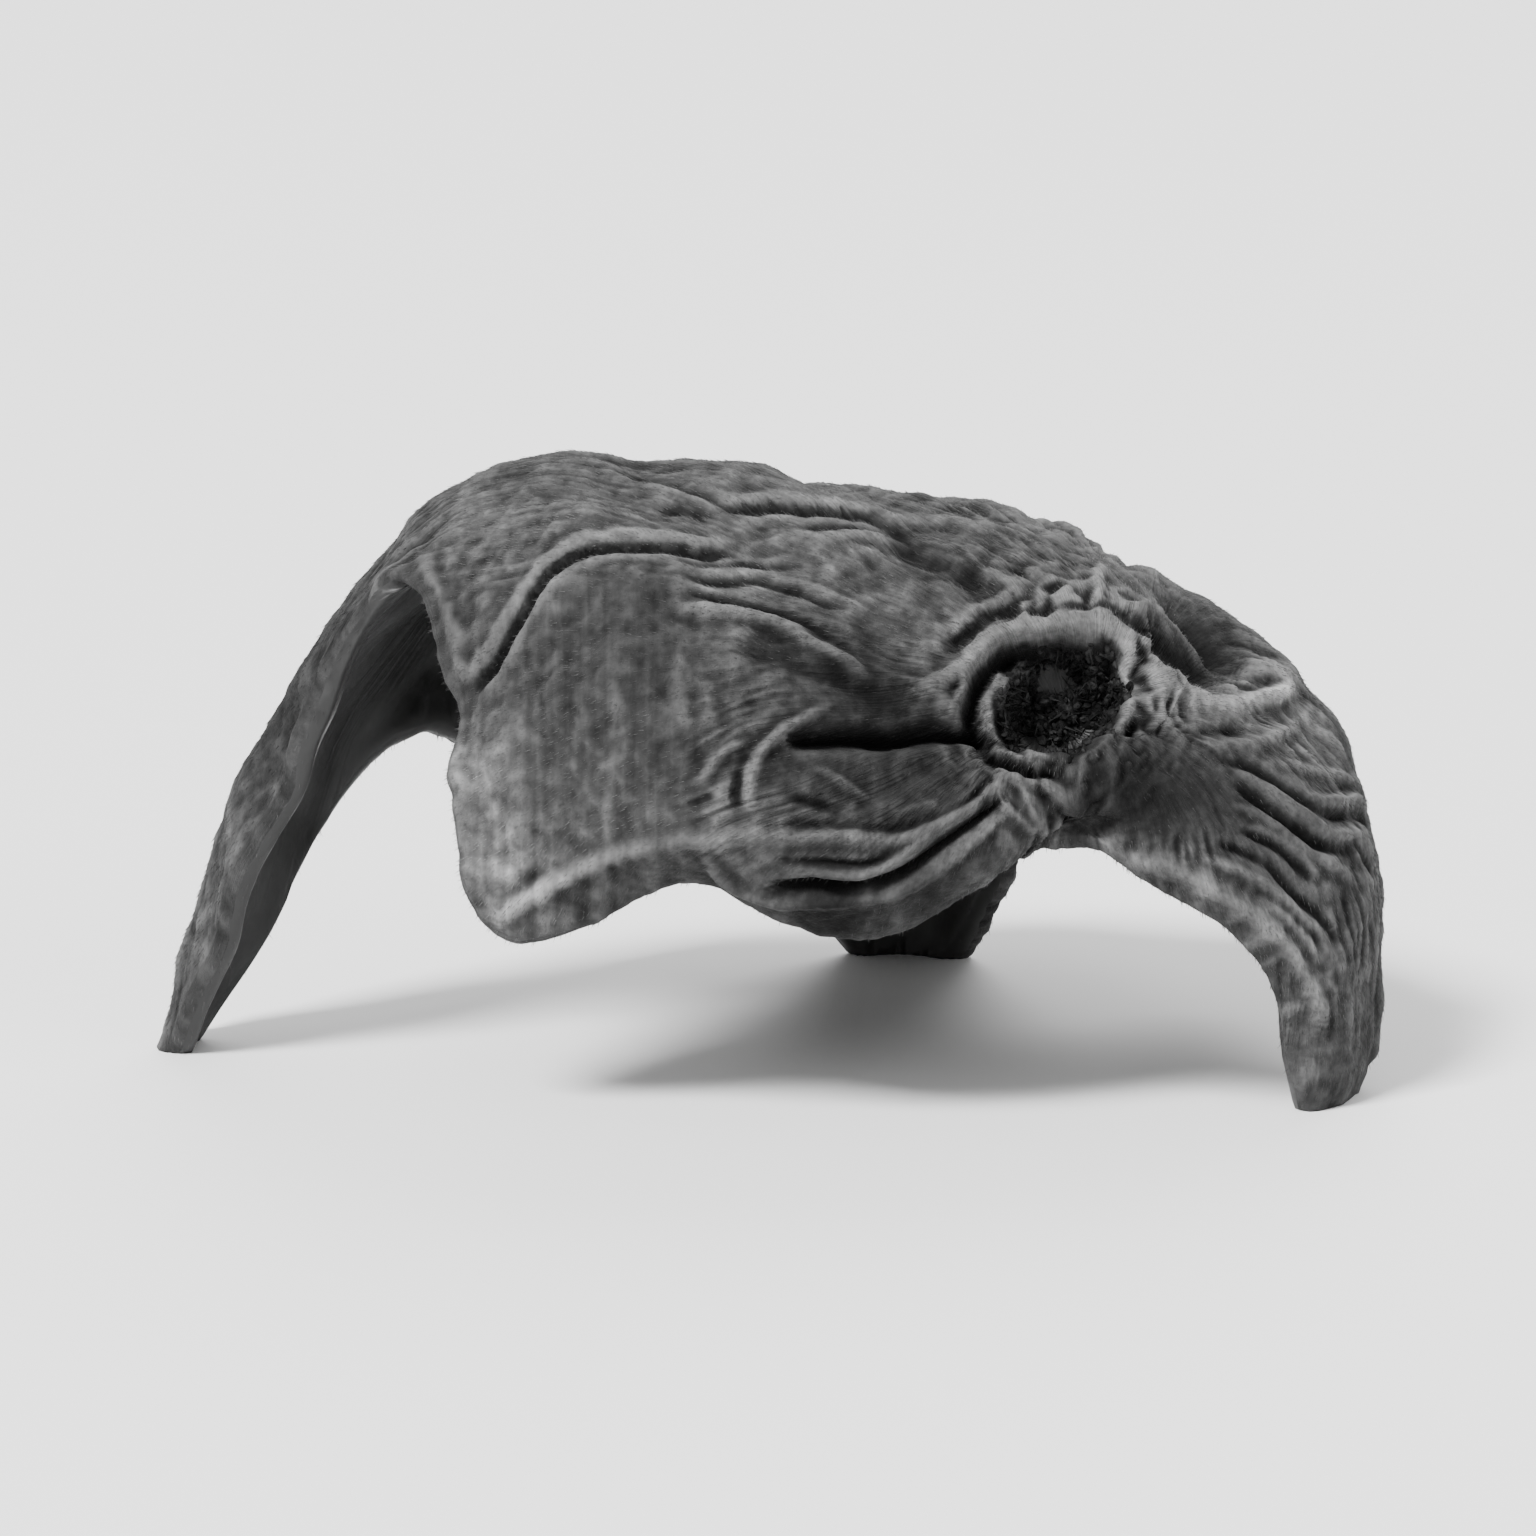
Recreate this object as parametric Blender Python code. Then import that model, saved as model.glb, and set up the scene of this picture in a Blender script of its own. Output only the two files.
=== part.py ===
"""One dried wood ear mushroom, picked and dried whole: a thin leathery ear that has curled into an arch.

The ear grew from a small stub. The sheet fans out from the stub on all sides and ends in a thin, wavy rim.
It stands on three drooping lobes of that rim: a left wing, a right limb and a back lobe.
+X runs from the left wing to the right limb, -Y is the front with the stub, and +Z is up.
The origin is on the surface that the ear stands on, below the middle of the ear's box.
"""

import bpy
import numpy as np
from mathutils import Vector, noise

MM = 0.001

# The sheet is drawn as rings of points round the stub, in millimetres. Each ring starts at the cleft below
# the stub and runs clockwise as the front shows it: lip, front corner, left wing, back and right limb.
STUB = (5.4, -6.0, 9.1)
STUB_FACING = (0.05, -0.86, 0.5)  # the way that the torn face of the stub looks
INNER_RING = [
    (5.6, -6.8, 8.1),  # cleft
    (4.0, -6.7, 8.0),  # lip
    (3.1, -6.4, 8.8),  # front corner
    (2.9, -5.8, 9.7),
    (3.3, -5.0, 10.5),  # left wing
    (4.0, -4.5, 10.9),
    (4.9, -4.2, 11.1),  # back
    (5.9, -4.2, 11.0),
    (6.8, -4.3, 10.6),
    (7.4, -4.6, 9.9),
    (7.7, -5.3, 9.0),  # right limb
    (7.1, -6.2, 8.2),
]
MIDDLE_RING = [
    (5.7, -7.0, 7.5),  # cleft
    (2.6, -7.5, 6.9),  # lip
    (-0.5, -7.3, 8.2),  # front corner
    (-1.7, -6.1, 10.6),
    (-2.3, -2.6, 12.4),  # left wing
    (-3.0, 0.8, 12.8),
    (-2.0, 3.2, 12.0),  # back
    (1.0, 3.6, 11.5),
    (4.2, 2.8, 11.0),
    (7.2, 0.8, 10.2),
    (9.6, -3.4, 8.3),  # right limb
    (8.3, -6.4, 7.3),
]
OUTER_RING = [
    (5.7, -6.8, 7.0),  # cleft
    (3.8, -7.3, 6.2),
    (1.3, -7.9, 5.7),  # lip
    (-1.7, -7.5, 6.5),
    (-4.4, -7.2, 6.7),
    (-5.3, -6.8, 8.3),  # front corner
    (-5.5, -5.6, 10.2),
    (-5.9, -3.0, 12.1),  # bay
    (-7.2, -0.6, 12.4),
    (-8.8, 0.4, 11.5),  # left wing
    (-10.2, 1.4, 9.2),
    (-9.4, 3.4, 8.8),
    (-7.2, 5.2, 9.0),
    (-4.4, 7.2, 7.8),  # back
    (-1.2, 7.6, 7.8),
    (1.8, 9.2, 5.4),
    (4.2, 8.0, 6.8),
    (6.8, 6.8, 7.4),
    (9.6, 5.0, 6.2),
    (11.3, 0.8, 6.7),
    (11.9, -2.6, 5.2),
    (11.3, -5.2, 3.8),  # right limb
    (9.5, -6.6, 5.2),
    (7.6, -7.0, 6.3),
]
RIM = [
    (5.75, -6.8, 6.4),  # cleft
    (3.4, -6.7, 5.5),
    (0.7, -7.0, 4.4),  # lip
    (-2.8, -6.7, 5.5),
    (-6.3, -6.2, 4.1),
    (-7.6, -5.4, 6.6),  # front corner
    (-7.5, -3.9, 8.9),
    (-8.7, -1.9, 11.1),  # bay
    (-10.2, -1.5, 9.3),
    (-12.0, -1.4, 5.0),
    (-14.0, 0.4, -0.3),  # left wing
    (-11.6, 3.0, 3.4),
    (-8.4, 4.4, 6.5),
    (-5.4, 7.6, 3.4),
    (-2.2, 7.8, 4.4),
    (1.6, 10.2, -0.3),  # back lobe
    (4.4, 8.0, 2.4),
    (6.6, 5.2, 5.2),
    (9.2, 5.8, 2.6),
    (11.2, 2.0, 4.0),
    (12.3, -2.0, 1.8),
    (11.0, -5.2, -0.3),  # right limb
    (10.0, -6.3, 3.2),
    (8.0, -6.8, 5.2),
]

COLUMNS = 96  # points round the stub
ROWS = 20  # points from the stub to the rim
STUB_THICKNESS = 2.4
SHEET_THICKNESS = 0.85
RIM_THICKNESS = 0.55
RIM_ROUNDING = 0.18

# The puckered scar where the stub was torn from the wood
PIT_RADIUS = 1.15
PIT_DEPTH = 1.4
COLLAR_RADIUS = 1.9
COLLAR_HEIGHT = 0.3

# Creases of the front, drawn as it is seen from a little above: (path of x and height, lift, half width)
SEEN_FROM = 12.0  # degrees above level
CREASES = [
    ([(-7.4, 8.0), (-6.3, 9.8), (-5.3, 10.9), (-4.2, 11.2), (-2.6, 11.0)], -0.45, 0.7),  # shoulder fold
    ([(-7.7, 8.7), (-6.5, 10.6), (-5.4, 11.6), (-3.8, 12.1)], 0.25, 0.6),  # its upper edge
    ([(-2.9, 9.9), (-1.3, 9.4), (0.2, 8.8), (1.6, 7.9), (3.0, 8.1)], 0.35, 0.4),  # brow
    ([(-0.4, 6.9), (1.7, 7.2), (3.7, 7.1)], -0.55, 0.4),  # crease that runs into the stub
    ([(-1.0, 6.4), (0.6, 6.2), (2.2, 6.1), (3.6, 6.3)], 0.25, 0.45),  # tongue below it
    ([(-1.8, 5.4), (0.6, 4.9), (2.8, 5.2), (4.8, 6.0)], -0.35, 0.35),  # groove behind the lip
    ([(7.6, 9.5), (8.9, 9.0), (10.1, 8.3)], -0.5, 0.6),  # dimple right of the stub
    ([(7.0, 8.2), (8.8, 7.9), (10.5, 7.3)], 0.3, 0.4),  # fold below the dimple
    ([(6.8, 6.2), (8.8, 5.6), (10.6, 3.8)], -0.25, 0.35),  # long fold down the right limb
]

SWELL = 0.35  # height of the sheet's slow bulges and hollows
FURROW = 0.22  # height of the furrows that run from the stub to the rim
FURROW_SPREAD = 6.0
RIPPLE = 0.35  # height of the rim's ripples
RIPPLES = 17
INSIDE_SHARE = 0.65  # how much of a crease also shows on the inner side


def spline_bends(points, closed):
    """Second derivatives of the cubic spline through evenly spaced points, none at an open curve's ends."""
    count = len(points)
    matrix = np.eye(count)
    right = np.zeros_like(points)
    for i in range(count) if closed else range(1, count - 1):
        before, after = (i - 1) % count, (i + 1) % count
        matrix[i, i] = 4.0
        matrix[i, before] += 1.0
        matrix[i, after] += 1.0
        right[i] = 6.0 * (points[before] - 2.0 * points[i] + points[after])
    return np.linalg.solve(matrix, right)


def spline(points, places, closed=False):
    """Reads the cubic spline through evenly spaced points at places from 0 to 1 along it."""
    points = np.asarray(points, float)
    flat = points.reshape(len(points), -1)
    bends = spline_bends(flat, closed)
    spans = len(flat) if closed else len(flat) - 1
    place = np.asarray(places, float) * spans
    first = np.clip(np.floor(place).astype(int), 0, spans - 1)
    second = (first + 1) % len(flat)
    t = (place - first)[:, None]
    s = 1.0 - t
    pull = (s**3 - s) * bends[first] + (t**3 - t) * bends[second]
    read = s * flat[first] + t * flat[second] + pull / 6.0
    return read.reshape((len(place),) + points.shape[1:])


def smooth_step(low, high, value):
    t = np.clip((value - low) / (high - low), 0.0, 1.0)
    return t * t * (3.0 - 2.0 * t)


def sheet_points(columns, rows):
    """The sheet's middle surface: rows from the flat stub to the rim, each a ring of points."""
    around = np.arange(columns) / columns
    rings = [np.tile(np.array(STUB), (columns, 1))]
    rings += [spline(ring, around, closed=True) for ring in (INNER_RING, MIDDLE_RING, OUTER_RING, RIM)]
    sheet = spline(np.array(rings), rows)
    facing = np.array(STUB_FACING) / np.linalg.norm(STUB_FACING)
    rise = (sheet - np.array(STUB)) @ facing
    flat_share = 1.0 - smooth_step(0.1, 0.25, rows)
    return sheet - (rise * flat_share[:, None])[..., None] * facing


def normals_of(sheet, rows):
    """Unit normals of the sheet, pointing to the downy outer side."""
    along = np.gradient(sheet, axis=0)
    across = np.roll(sheet, -1, axis=1) - np.roll(sheet, 1, axis=1)
    normals = np.cross(across, along)
    normals /= np.linalg.norm(normals, axis=2, keepdims=True)
    share = smooth_step(0.05, 0.3, rows)[:, None, None]
    normals = share * normals + (1.0 - share) * np.array(STUB_FACING)
    return normals / np.linalg.norm(normals, axis=2, keepdims=True)


def noise_at(points, scale, seed):
    """Smooth noise from about -1 to 1 at each point, seed apart from other noises of the same scale."""
    flat = points.reshape(-1, 3) * scale + np.array((seed, 2.0 * seed, -seed))
    return np.array([noise.noise(Vector(p)) for p in flat]).reshape(points.shape[:-1])


def distance_to_path(sheet, path):
    """Distance in the front view from each point of the sheet to a smooth path."""
    tilt = np.radians(SEEN_FROM)
    seen_height = sheet[..., 2] * np.cos(tilt) + sheet[..., 1] * np.sin(tilt)
    seen = np.stack((sheet[..., 0], seen_height), axis=-1).reshape(-1, 2)
    curve = spline(path, np.linspace(0.0, 1.0, 8 * len(path)))
    steps = np.linalg.norm(seen[:, None, :] - curve[None, :, :], axis=2)
    return steps.min(axis=1).reshape(sheet.shape[:-1])


def crease_heights(sheet, normals):
    """How far the creases lift or sink the front of the sheet."""
    facing_front = smooth_step(0.05, 0.45, -normals[..., 1])
    heights = np.zeros(sheet.shape[:-1])
    for path, lift, half_width in CREASES:
        distance = distance_to_path(sheet, path)
        heights += lift * np.exp(-((distance / half_width) ** 2))
    return heights * facing_front


def furrow_heights(rows, columns):
    """Furrows that fan out from the stub, and ripples that grow towards the rim."""
    row, turn = np.meshgrid(rows, 2.0 * np.pi * np.arange(columns) / columns, indexing="ij")
    fan = np.stack((np.cos(turn) * FURROW_SPREAD, np.sin(turn) * FURROW_SPREAD, 1.3 * row), axis=-1)
    furrows = FURROW * noise_at(fan, 1.0, 7.0) * smooth_step(0.15, 0.45, row)
    drift = 2.5 * noise_at(fan, 0.2, 23.0)
    ripples = RIPPLE * np.sin(RIPPLES * turn + drift) * noise_at(fan, 0.3, 31.0) * smooth_step(0.55, 1.0, row)
    return furrows + ripples


def scar_heights(sheet):
    """The pit of the torn stub, and the puckered collar round it."""
    distance = np.linalg.norm(sheet - np.array(STUB), axis=2)
    lumps = 1.0 + 0.6 * noise_at(sheet, 1.1, 41.0)
    pit = -PIT_DEPTH * np.exp(-((distance / PIT_RADIUS) ** 4))
    collar = COLLAR_HEIGHT * lumps * np.exp(-(((distance - COLLAR_RADIUS) / 0.6) ** 2))
    return pit + collar


def half_thickness(rows):
    near_stub = np.exp(-rows / 0.12)
    near_rim = smooth_step(0.6, 1.0, rows)
    whole = SHEET_THICKNESS + (STUB_THICKNESS - SHEET_THICKNESS) * near_stub
    return (whole + (RIM_THICKNESS - SHEET_THICKNESS) * near_rim) / 2.0


def ear_surfaces(columns, rows):
    """The ear's outer side, inner side and rounded edge."""
    sheet = sheet_points(columns, rows)
    swell = noise_at(sheet, 0.28, 3.0) + 0.5 * noise_at(sheet, 0.6, 11.0)
    swell *= SWELL * smooth_step(0.1, 0.5, rows)[:, None]
    sheet = sheet + normals_of(sheet, rows) * swell[..., None]
    normals = normals_of(sheet, rows)
    relief = crease_heights(sheet, normals) + furrow_heights(rows, columns)
    half = half_thickness(rows)[:, None]
    outer = sheet + normals * (half + relief + scar_heights(sheet))[..., None]
    inner = sheet - normals * (half - INSIDE_SHARE * relief)[..., None]
    outward = sheet[-1] - sheet[-2]
    outward /= np.linalg.norm(outward, axis=1, keepdims=True)
    edge = (outer[-1] + inner[-1]) / 2.0 + outward * RIM_ROUNDING
    return outer, inner, edge


def band(first, second):
    """Faces between two neighbouring rings, each given by the number of its first point."""
    faces = []
    for column in range(COLUMNS):
        beside = (column + 1) % COLUMNS
        faces.append((first + column, first + beside, second + beside, second + column))
    return faces


def fan(pole, ring):
    """Faces between a single point and the ring round it."""
    return [(pole, ring + (column + 1) % COLUMNS, ring + column) for column in range(COLUMNS)]


def build_ear():
    """One closed skin: down the outer side, round the edge and back up the inner side."""
    rows = np.linspace(1.0 / ROWS, 1.0, ROWS)
    outer, inner, edge = ear_surfaces(COLUMNS, rows)
    rings = [*outer, edge, *inner[::-1]]
    poles = [outer[0].mean(axis=0), inner[0].mean(axis=0)]
    points = np.array([*np.concatenate(rings), *poles])
    points[:, 2] = np.maximum(points[:, 2], 0.0)
    points[:, :2] -= (points.max(axis=0) + points.min(axis=0))[:2] / 2.0

    faces = []
    for ring in range(len(rings) - 1):
        faces += band(ring * COLUMNS, (ring + 1) * COLUMNS)
    outer_pole = len(rings) * COLUMNS
    faces += fan(outer_pole, 0)
    faces += [face[::-1] for face in fan(outer_pole + 1, (len(rings) - 1) * COLUMNS)]

    mesh = bpy.data.meshes.new("wood_ear")
    mesh.from_pydata((points * MM).tolist(), [], faces)
    mesh.shade_smooth()
    ear = bpy.data.objects.new("wood_ear", mesh)
    bpy.context.scene.collection.objects.link(ear)
    return ear


def dried_flesh():
    material = bpy.data.materials.new("dried_flesh")
    material.use_nodes = True
    shader = material.node_tree.nodes["Principled BSDF"]
    shader.inputs["Base Color"].default_value = (0.045, 0.045, 0.045, 1.0)
    shader.inputs["Roughness"].default_value = 0.75
    shader.inputs["Metallic"].default_value = 0.0
    return material


def main():
    for old in list(bpy.data.objects):
        bpy.data.objects.remove(old)
    ear = build_ear()
    ear.data.materials.append(dried_flesh())


main()
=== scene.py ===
"""The looks of one dried wood ear: its wrinkled downy skin, its smooth dark inner side and its torn stub."""

import math

import bpy
import numpy as np
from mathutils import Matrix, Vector, noise


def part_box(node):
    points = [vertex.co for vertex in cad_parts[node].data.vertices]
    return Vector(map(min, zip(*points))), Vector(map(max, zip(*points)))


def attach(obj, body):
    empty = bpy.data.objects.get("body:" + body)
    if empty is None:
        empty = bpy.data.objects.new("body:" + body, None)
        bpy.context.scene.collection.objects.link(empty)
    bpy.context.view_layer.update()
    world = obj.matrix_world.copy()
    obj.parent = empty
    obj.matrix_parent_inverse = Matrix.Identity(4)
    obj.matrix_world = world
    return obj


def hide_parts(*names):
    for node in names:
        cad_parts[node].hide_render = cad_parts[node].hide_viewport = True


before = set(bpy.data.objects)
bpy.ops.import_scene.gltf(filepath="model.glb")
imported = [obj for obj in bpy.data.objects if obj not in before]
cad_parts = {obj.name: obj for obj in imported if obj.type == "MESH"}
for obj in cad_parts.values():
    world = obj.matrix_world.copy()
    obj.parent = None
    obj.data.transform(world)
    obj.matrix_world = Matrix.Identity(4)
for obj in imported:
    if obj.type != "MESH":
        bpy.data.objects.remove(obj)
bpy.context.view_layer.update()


# The sheet of the ear. Fungus flesh under a millimetre thick, which grew outward from the stub and curled
# into an arch as it dried. It is drawn in millimetres, as rings of points round the stub that start at the
# cleft below it and run clockwise as the front shows them: lip, front corner, left wing, back, right limb.

MM = 0.001
STUB = (5.4, -6.0, 9.1)
STUB_FACING = (0.05, -0.86, 0.5)  # the way that the torn face of the stub looks
INNER_RING = [
    (5.6, -6.8, 8.1),  # cleft
    (4.0, -6.7, 8.0),  # lip
    (3.1, -6.4, 8.8),  # front corner
    (2.9, -5.8, 9.7),
    (3.3, -5.0, 10.5),  # left wing
    (4.0, -4.5, 10.9),
    (4.9, -4.2, 11.1),  # back
    (5.9, -4.2, 11.0),
    (6.8, -4.3, 10.6),
    (7.4, -4.6, 9.9),
    (7.7, -5.3, 9.0),  # right limb
    (7.1, -6.2, 8.2),
]
MIDDLE_RING = [
    (5.7, -7.0, 7.5),  # cleft
    (2.6, -7.5, 6.9),  # lip
    (-0.5, -7.3, 8.2),  # front corner
    (-1.7, -6.1, 10.6),
    (-2.3, -2.6, 12.4),  # left wing
    (-3.0, 0.8, 12.8),
    (-2.0, 3.2, 12.0),  # back
    (1.0, 3.6, 11.5),
    (4.2, 2.8, 11.0),
    (7.2, 0.8, 10.2),
    (9.6, -3.4, 8.3),  # right limb
    (8.3, -6.4, 7.3),
]
OUTER_RING = [
    (5.7, -6.8, 7.0),  # cleft
    (3.8, -7.3, 6.2),
    (1.3, -7.9, 5.7),  # lip
    (-1.7, -7.5, 6.5),
    (-4.4, -7.2, 6.7),
    (-5.3, -6.8, 8.3),  # front corner
    (-5.5, -5.6, 10.2),
    (-5.9, -3.0, 12.1),  # bay
    (-7.2, -0.6, 12.4),
    (-8.8, 0.4, 11.5),  # left wing
    (-10.2, 1.4, 9.2),
    (-9.4, 3.4, 8.8),
    (-7.2, 5.2, 9.0),
    (-4.4, 7.2, 7.8),  # back
    (-1.2, 7.6, 7.8),
    (1.8, 9.2, 5.4),
    (4.2, 8.0, 6.8),
    (6.8, 6.8, 7.4),
    (9.6, 5.0, 6.2),
    (11.3, 0.8, 6.7),
    (11.9, -2.6, 5.2),
    (11.3, -5.2, 3.8),  # right limb
    (9.5, -6.6, 5.2),
    (7.6, -7.0, 6.3),
]
RIM = [
    (5.75, -6.8, 6.4),  # cleft
    (3.4, -6.7, 5.5),
    (0.7, -7.0, 4.4),  # lip
    (-2.8, -6.7, 5.5),
    (-6.3, -6.2, 4.1),
    (-7.6, -5.4, 6.6),  # front corner
    (-7.5, -3.9, 8.9),
    (-8.7, -1.9, 11.1),  # bay
    (-10.2, -1.5, 9.3),
    (-12.0, -1.4, 5.0),
    (-14.0, 0.4, -0.3),  # left wing
    (-11.6, 3.0, 3.4),
    (-8.4, 4.4, 6.5),
    (-5.4, 7.6, 3.4),
    (-2.2, 7.8, 4.4),
    (1.6, 10.2, -0.3),  # back lobe
    (4.4, 8.0, 2.4),
    (6.6, 5.2, 5.2),
    (9.2, 5.8, 2.6),
    (11.2, 2.0, 4.0),
    (12.3, -2.0, 1.8),
    (11.0, -5.2, -0.3),  # right limb
    (10.0, -6.3, 3.2),
    (8.0, -6.8, 5.2),
]
COLUMNS = 960  # points round the stub
OUTER_ROWS = 250  # points from the stub to the rim, on the downy side
INNER_ROWS = 90  # and on the smooth side

STUB_THICKNESS = 2.4
STUB_TAPER = 0.12  # share of the way to the rim in which the stub thins out
SHEET_THICKNESS = 0.85
RIM_THICKNESS = 0.6
SWELL = 0.35  # height of the sheet's slow bulges and hollows
FURROW = 0.22  # height of the furrows that run from the stub to the rim
FURROW_SPREAD = 6.0  # how closely they stand round the stub
FURROW_CHANGE = 1.3  # how much each changes on its way to the rim
RIPPLE = 0.35  # height of the rim's ripples
RIPPLES = 17
RIPPLE_DRIFT = 2.5  # how unevenly they stand
INSIDE_SHARE = 0.65  # how much of the furrows and ripples shows on the smooth side too

# Shares of the way from the stub to the rim at which each of these begins, and is full
TURNING = (0.05, 0.3)  # from facing as the stub does to facing as the sheet does
CURLING = (0.1, 0.25)
SWELLING = (0.1, 0.5)
FURROWING = (0.15, 0.45)
RIPPLING = (0.55, 1.0)
THINNING = (0.6, 1.0)

turns = 2.0 * np.pi * np.arange(COLUMNS) / COLUMNS


def spline_bends(points, closed):
    """Second derivatives of the cubic spline through evenly spaced points, none at an open curve's ends."""
    count = len(points)
    matrix = np.eye(count)
    right = np.zeros_like(points)
    for i in range(count) if closed else range(1, count - 1):
        before, after = (i - 1) % count, (i + 1) % count
        matrix[i, i] = 4.0
        matrix[i, before] += 1.0
        matrix[i, after] += 1.0
        right[i] = 6.0 * (points[before] - 2.0 * points[i] + points[after])
    return np.linalg.solve(matrix, right)


def spline(points, places, closed=False):
    """Reads the cubic spline through evenly spaced points at places from 0 to 1 along it."""
    points = np.asarray(points, float)
    flat = points.reshape(len(points), -1)
    bends = spline_bends(flat, closed)
    spans = len(flat) if closed else len(flat) - 1
    place = np.asarray(places, float) * spans
    first = np.clip(np.floor(place).astype(int), 0, spans - 1)
    second = (first + 1) % len(flat)
    t = (place - first)[:, None]
    s = 1.0 - t
    pull = (s**3 - s) * bends[first] + (t**3 - t) * bends[second]
    read = s * flat[first] + t * flat[second] + pull / 6.0
    return read.reshape((len(place),) + points.shape[1:])


def smooth_step(start, full, value):
    """A share from 0 where the value is at start, to 1 where it is at full, which may be the lower one."""
    t = np.clip((value - start) / (full - start), 0.0, 1.0)
    return t * t * (3.0 - 2.0 * t)


def noise_at(points, scale, seed):
    """Smooth noise from about -1 to 1 at each point, seed apart from other noises of the same scale."""
    flat = points.reshape(-1, 3) * scale + np.array((seed, 2.0 * seed, -seed))
    return np.array([noise.noise(Vector(p)) for p in flat]).reshape(points.shape[:-1])


def drum(turn, radius, height):
    """Places on a drum round the stub. Noise that is read there meets itself once round."""
    turn, radius, height = np.broadcast_arrays(turn, radius, height)
    return np.stack((np.cos(turn) * radius, np.sin(turn) * radius, height), axis=-1)


def normals_of(sheet, rows):
    """Unit normals of the sheet, pointing to the downy outer side."""
    along = np.gradient(sheet, axis=0)
    across = np.roll(sheet, -1, axis=1) - np.roll(sheet, 1, axis=1)
    normals = np.cross(across, along)
    normals /= np.linalg.norm(normals, axis=2, keepdims=True)
    share = smooth_step(*TURNING, rows)[:, None, None]
    normals = share * normals + (1.0 - share) * np.array(STUB_FACING)
    return normals / np.linalg.norm(normals, axis=2, keepdims=True)


def swelled_sheet(rows):
    """The sheet's middle surface with its slow bulges, and its normals."""
    around = np.arange(COLUMNS) / COLUMNS
    rings = [np.tile(np.array(STUB), (COLUMNS, 1))]
    rings += [spline(ring, around, closed=True) for ring in (INNER_RING, MIDDLE_RING, OUTER_RING, RIM)]
    sheet = spline(np.array(rings), rows)
    facing = np.array(STUB_FACING) / np.linalg.norm(STUB_FACING)
    rise = (sheet - np.array(STUB)) @ facing
    flat_share = 1.0 - smooth_step(*CURLING, rows)
    sheet = sheet - (rise * flat_share[:, None])[..., None] * facing
    swell = noise_at(sheet, scale=0.28, seed=3.0) + 0.5 * noise_at(sheet, scale=0.6, seed=11.0)
    swell *= SWELL * smooth_step(*SWELLING, rows)[:, None]
    sheet = sheet + normals_of(sheet, rows) * swell[..., None]
    return sheet, normals_of(sheet, rows)


def furrow_heights(rows):
    """Broad furrows that fan out from the stub, and ripples that grow towards the rim."""
    row = rows[:, None]
    fan = drum(turns, FURROW_SPREAD, FURROW_CHANGE * row)
    furrows = FURROW * noise_at(fan, scale=1.0, seed=7.0) * smooth_step(*FURROWING, row)
    drift = RIPPLE_DRIFT * noise_at(fan, scale=0.2, seed=23.0)
    ripples = RIPPLE * np.sin(RIPPLES * turns + drift) * noise_at(fan, scale=0.3, seed=31.0)
    return furrows + ripples * smooth_step(*RIPPLING, row)


def half_thickness(rows):
    near_stub = np.exp(-rows / STUB_TAPER)
    near_rim = smooth_step(*THINNING, rows)
    whole = SHEET_THICKNESS + (STUB_THICKNESS - SHEET_THICKNESS) * near_stub
    return (whole + (RIM_THICKNESS - SHEET_THICKNESS) * near_rim) / 2.0


outer_rows = np.linspace(0.25 / OUTER_ROWS, 1.0, OUTER_ROWS)
inner_rows = np.linspace(0.5 / INNER_ROWS, 1.0, INNER_ROWS)
outer_sheet, outer_normals = swelled_sheet(outer_rows)
inner_sheet, inner_normals = swelled_sheet(inner_rows)
outer_lift = half_thickness(outer_rows)[:, None] + furrow_heights(outer_rows)
inner_lift = half_thickness(inner_rows)[:, None] - INSIDE_SHARE * furrow_heights(inner_rows)
outer_base = outer_sheet + outer_normals * outer_lift[..., None]
inner_base = inner_sheet - inner_normals * inner_lift[..., None]


# The folds of the skin. As the flesh lost its water, the downy side gathered into long folds that run out of
# the stub, and into a few deep creases across the front. They are drawn as the front is seen, from a little
# above: each is a path of x and height, its lift (below zero for a groove) and its half width.

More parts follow.
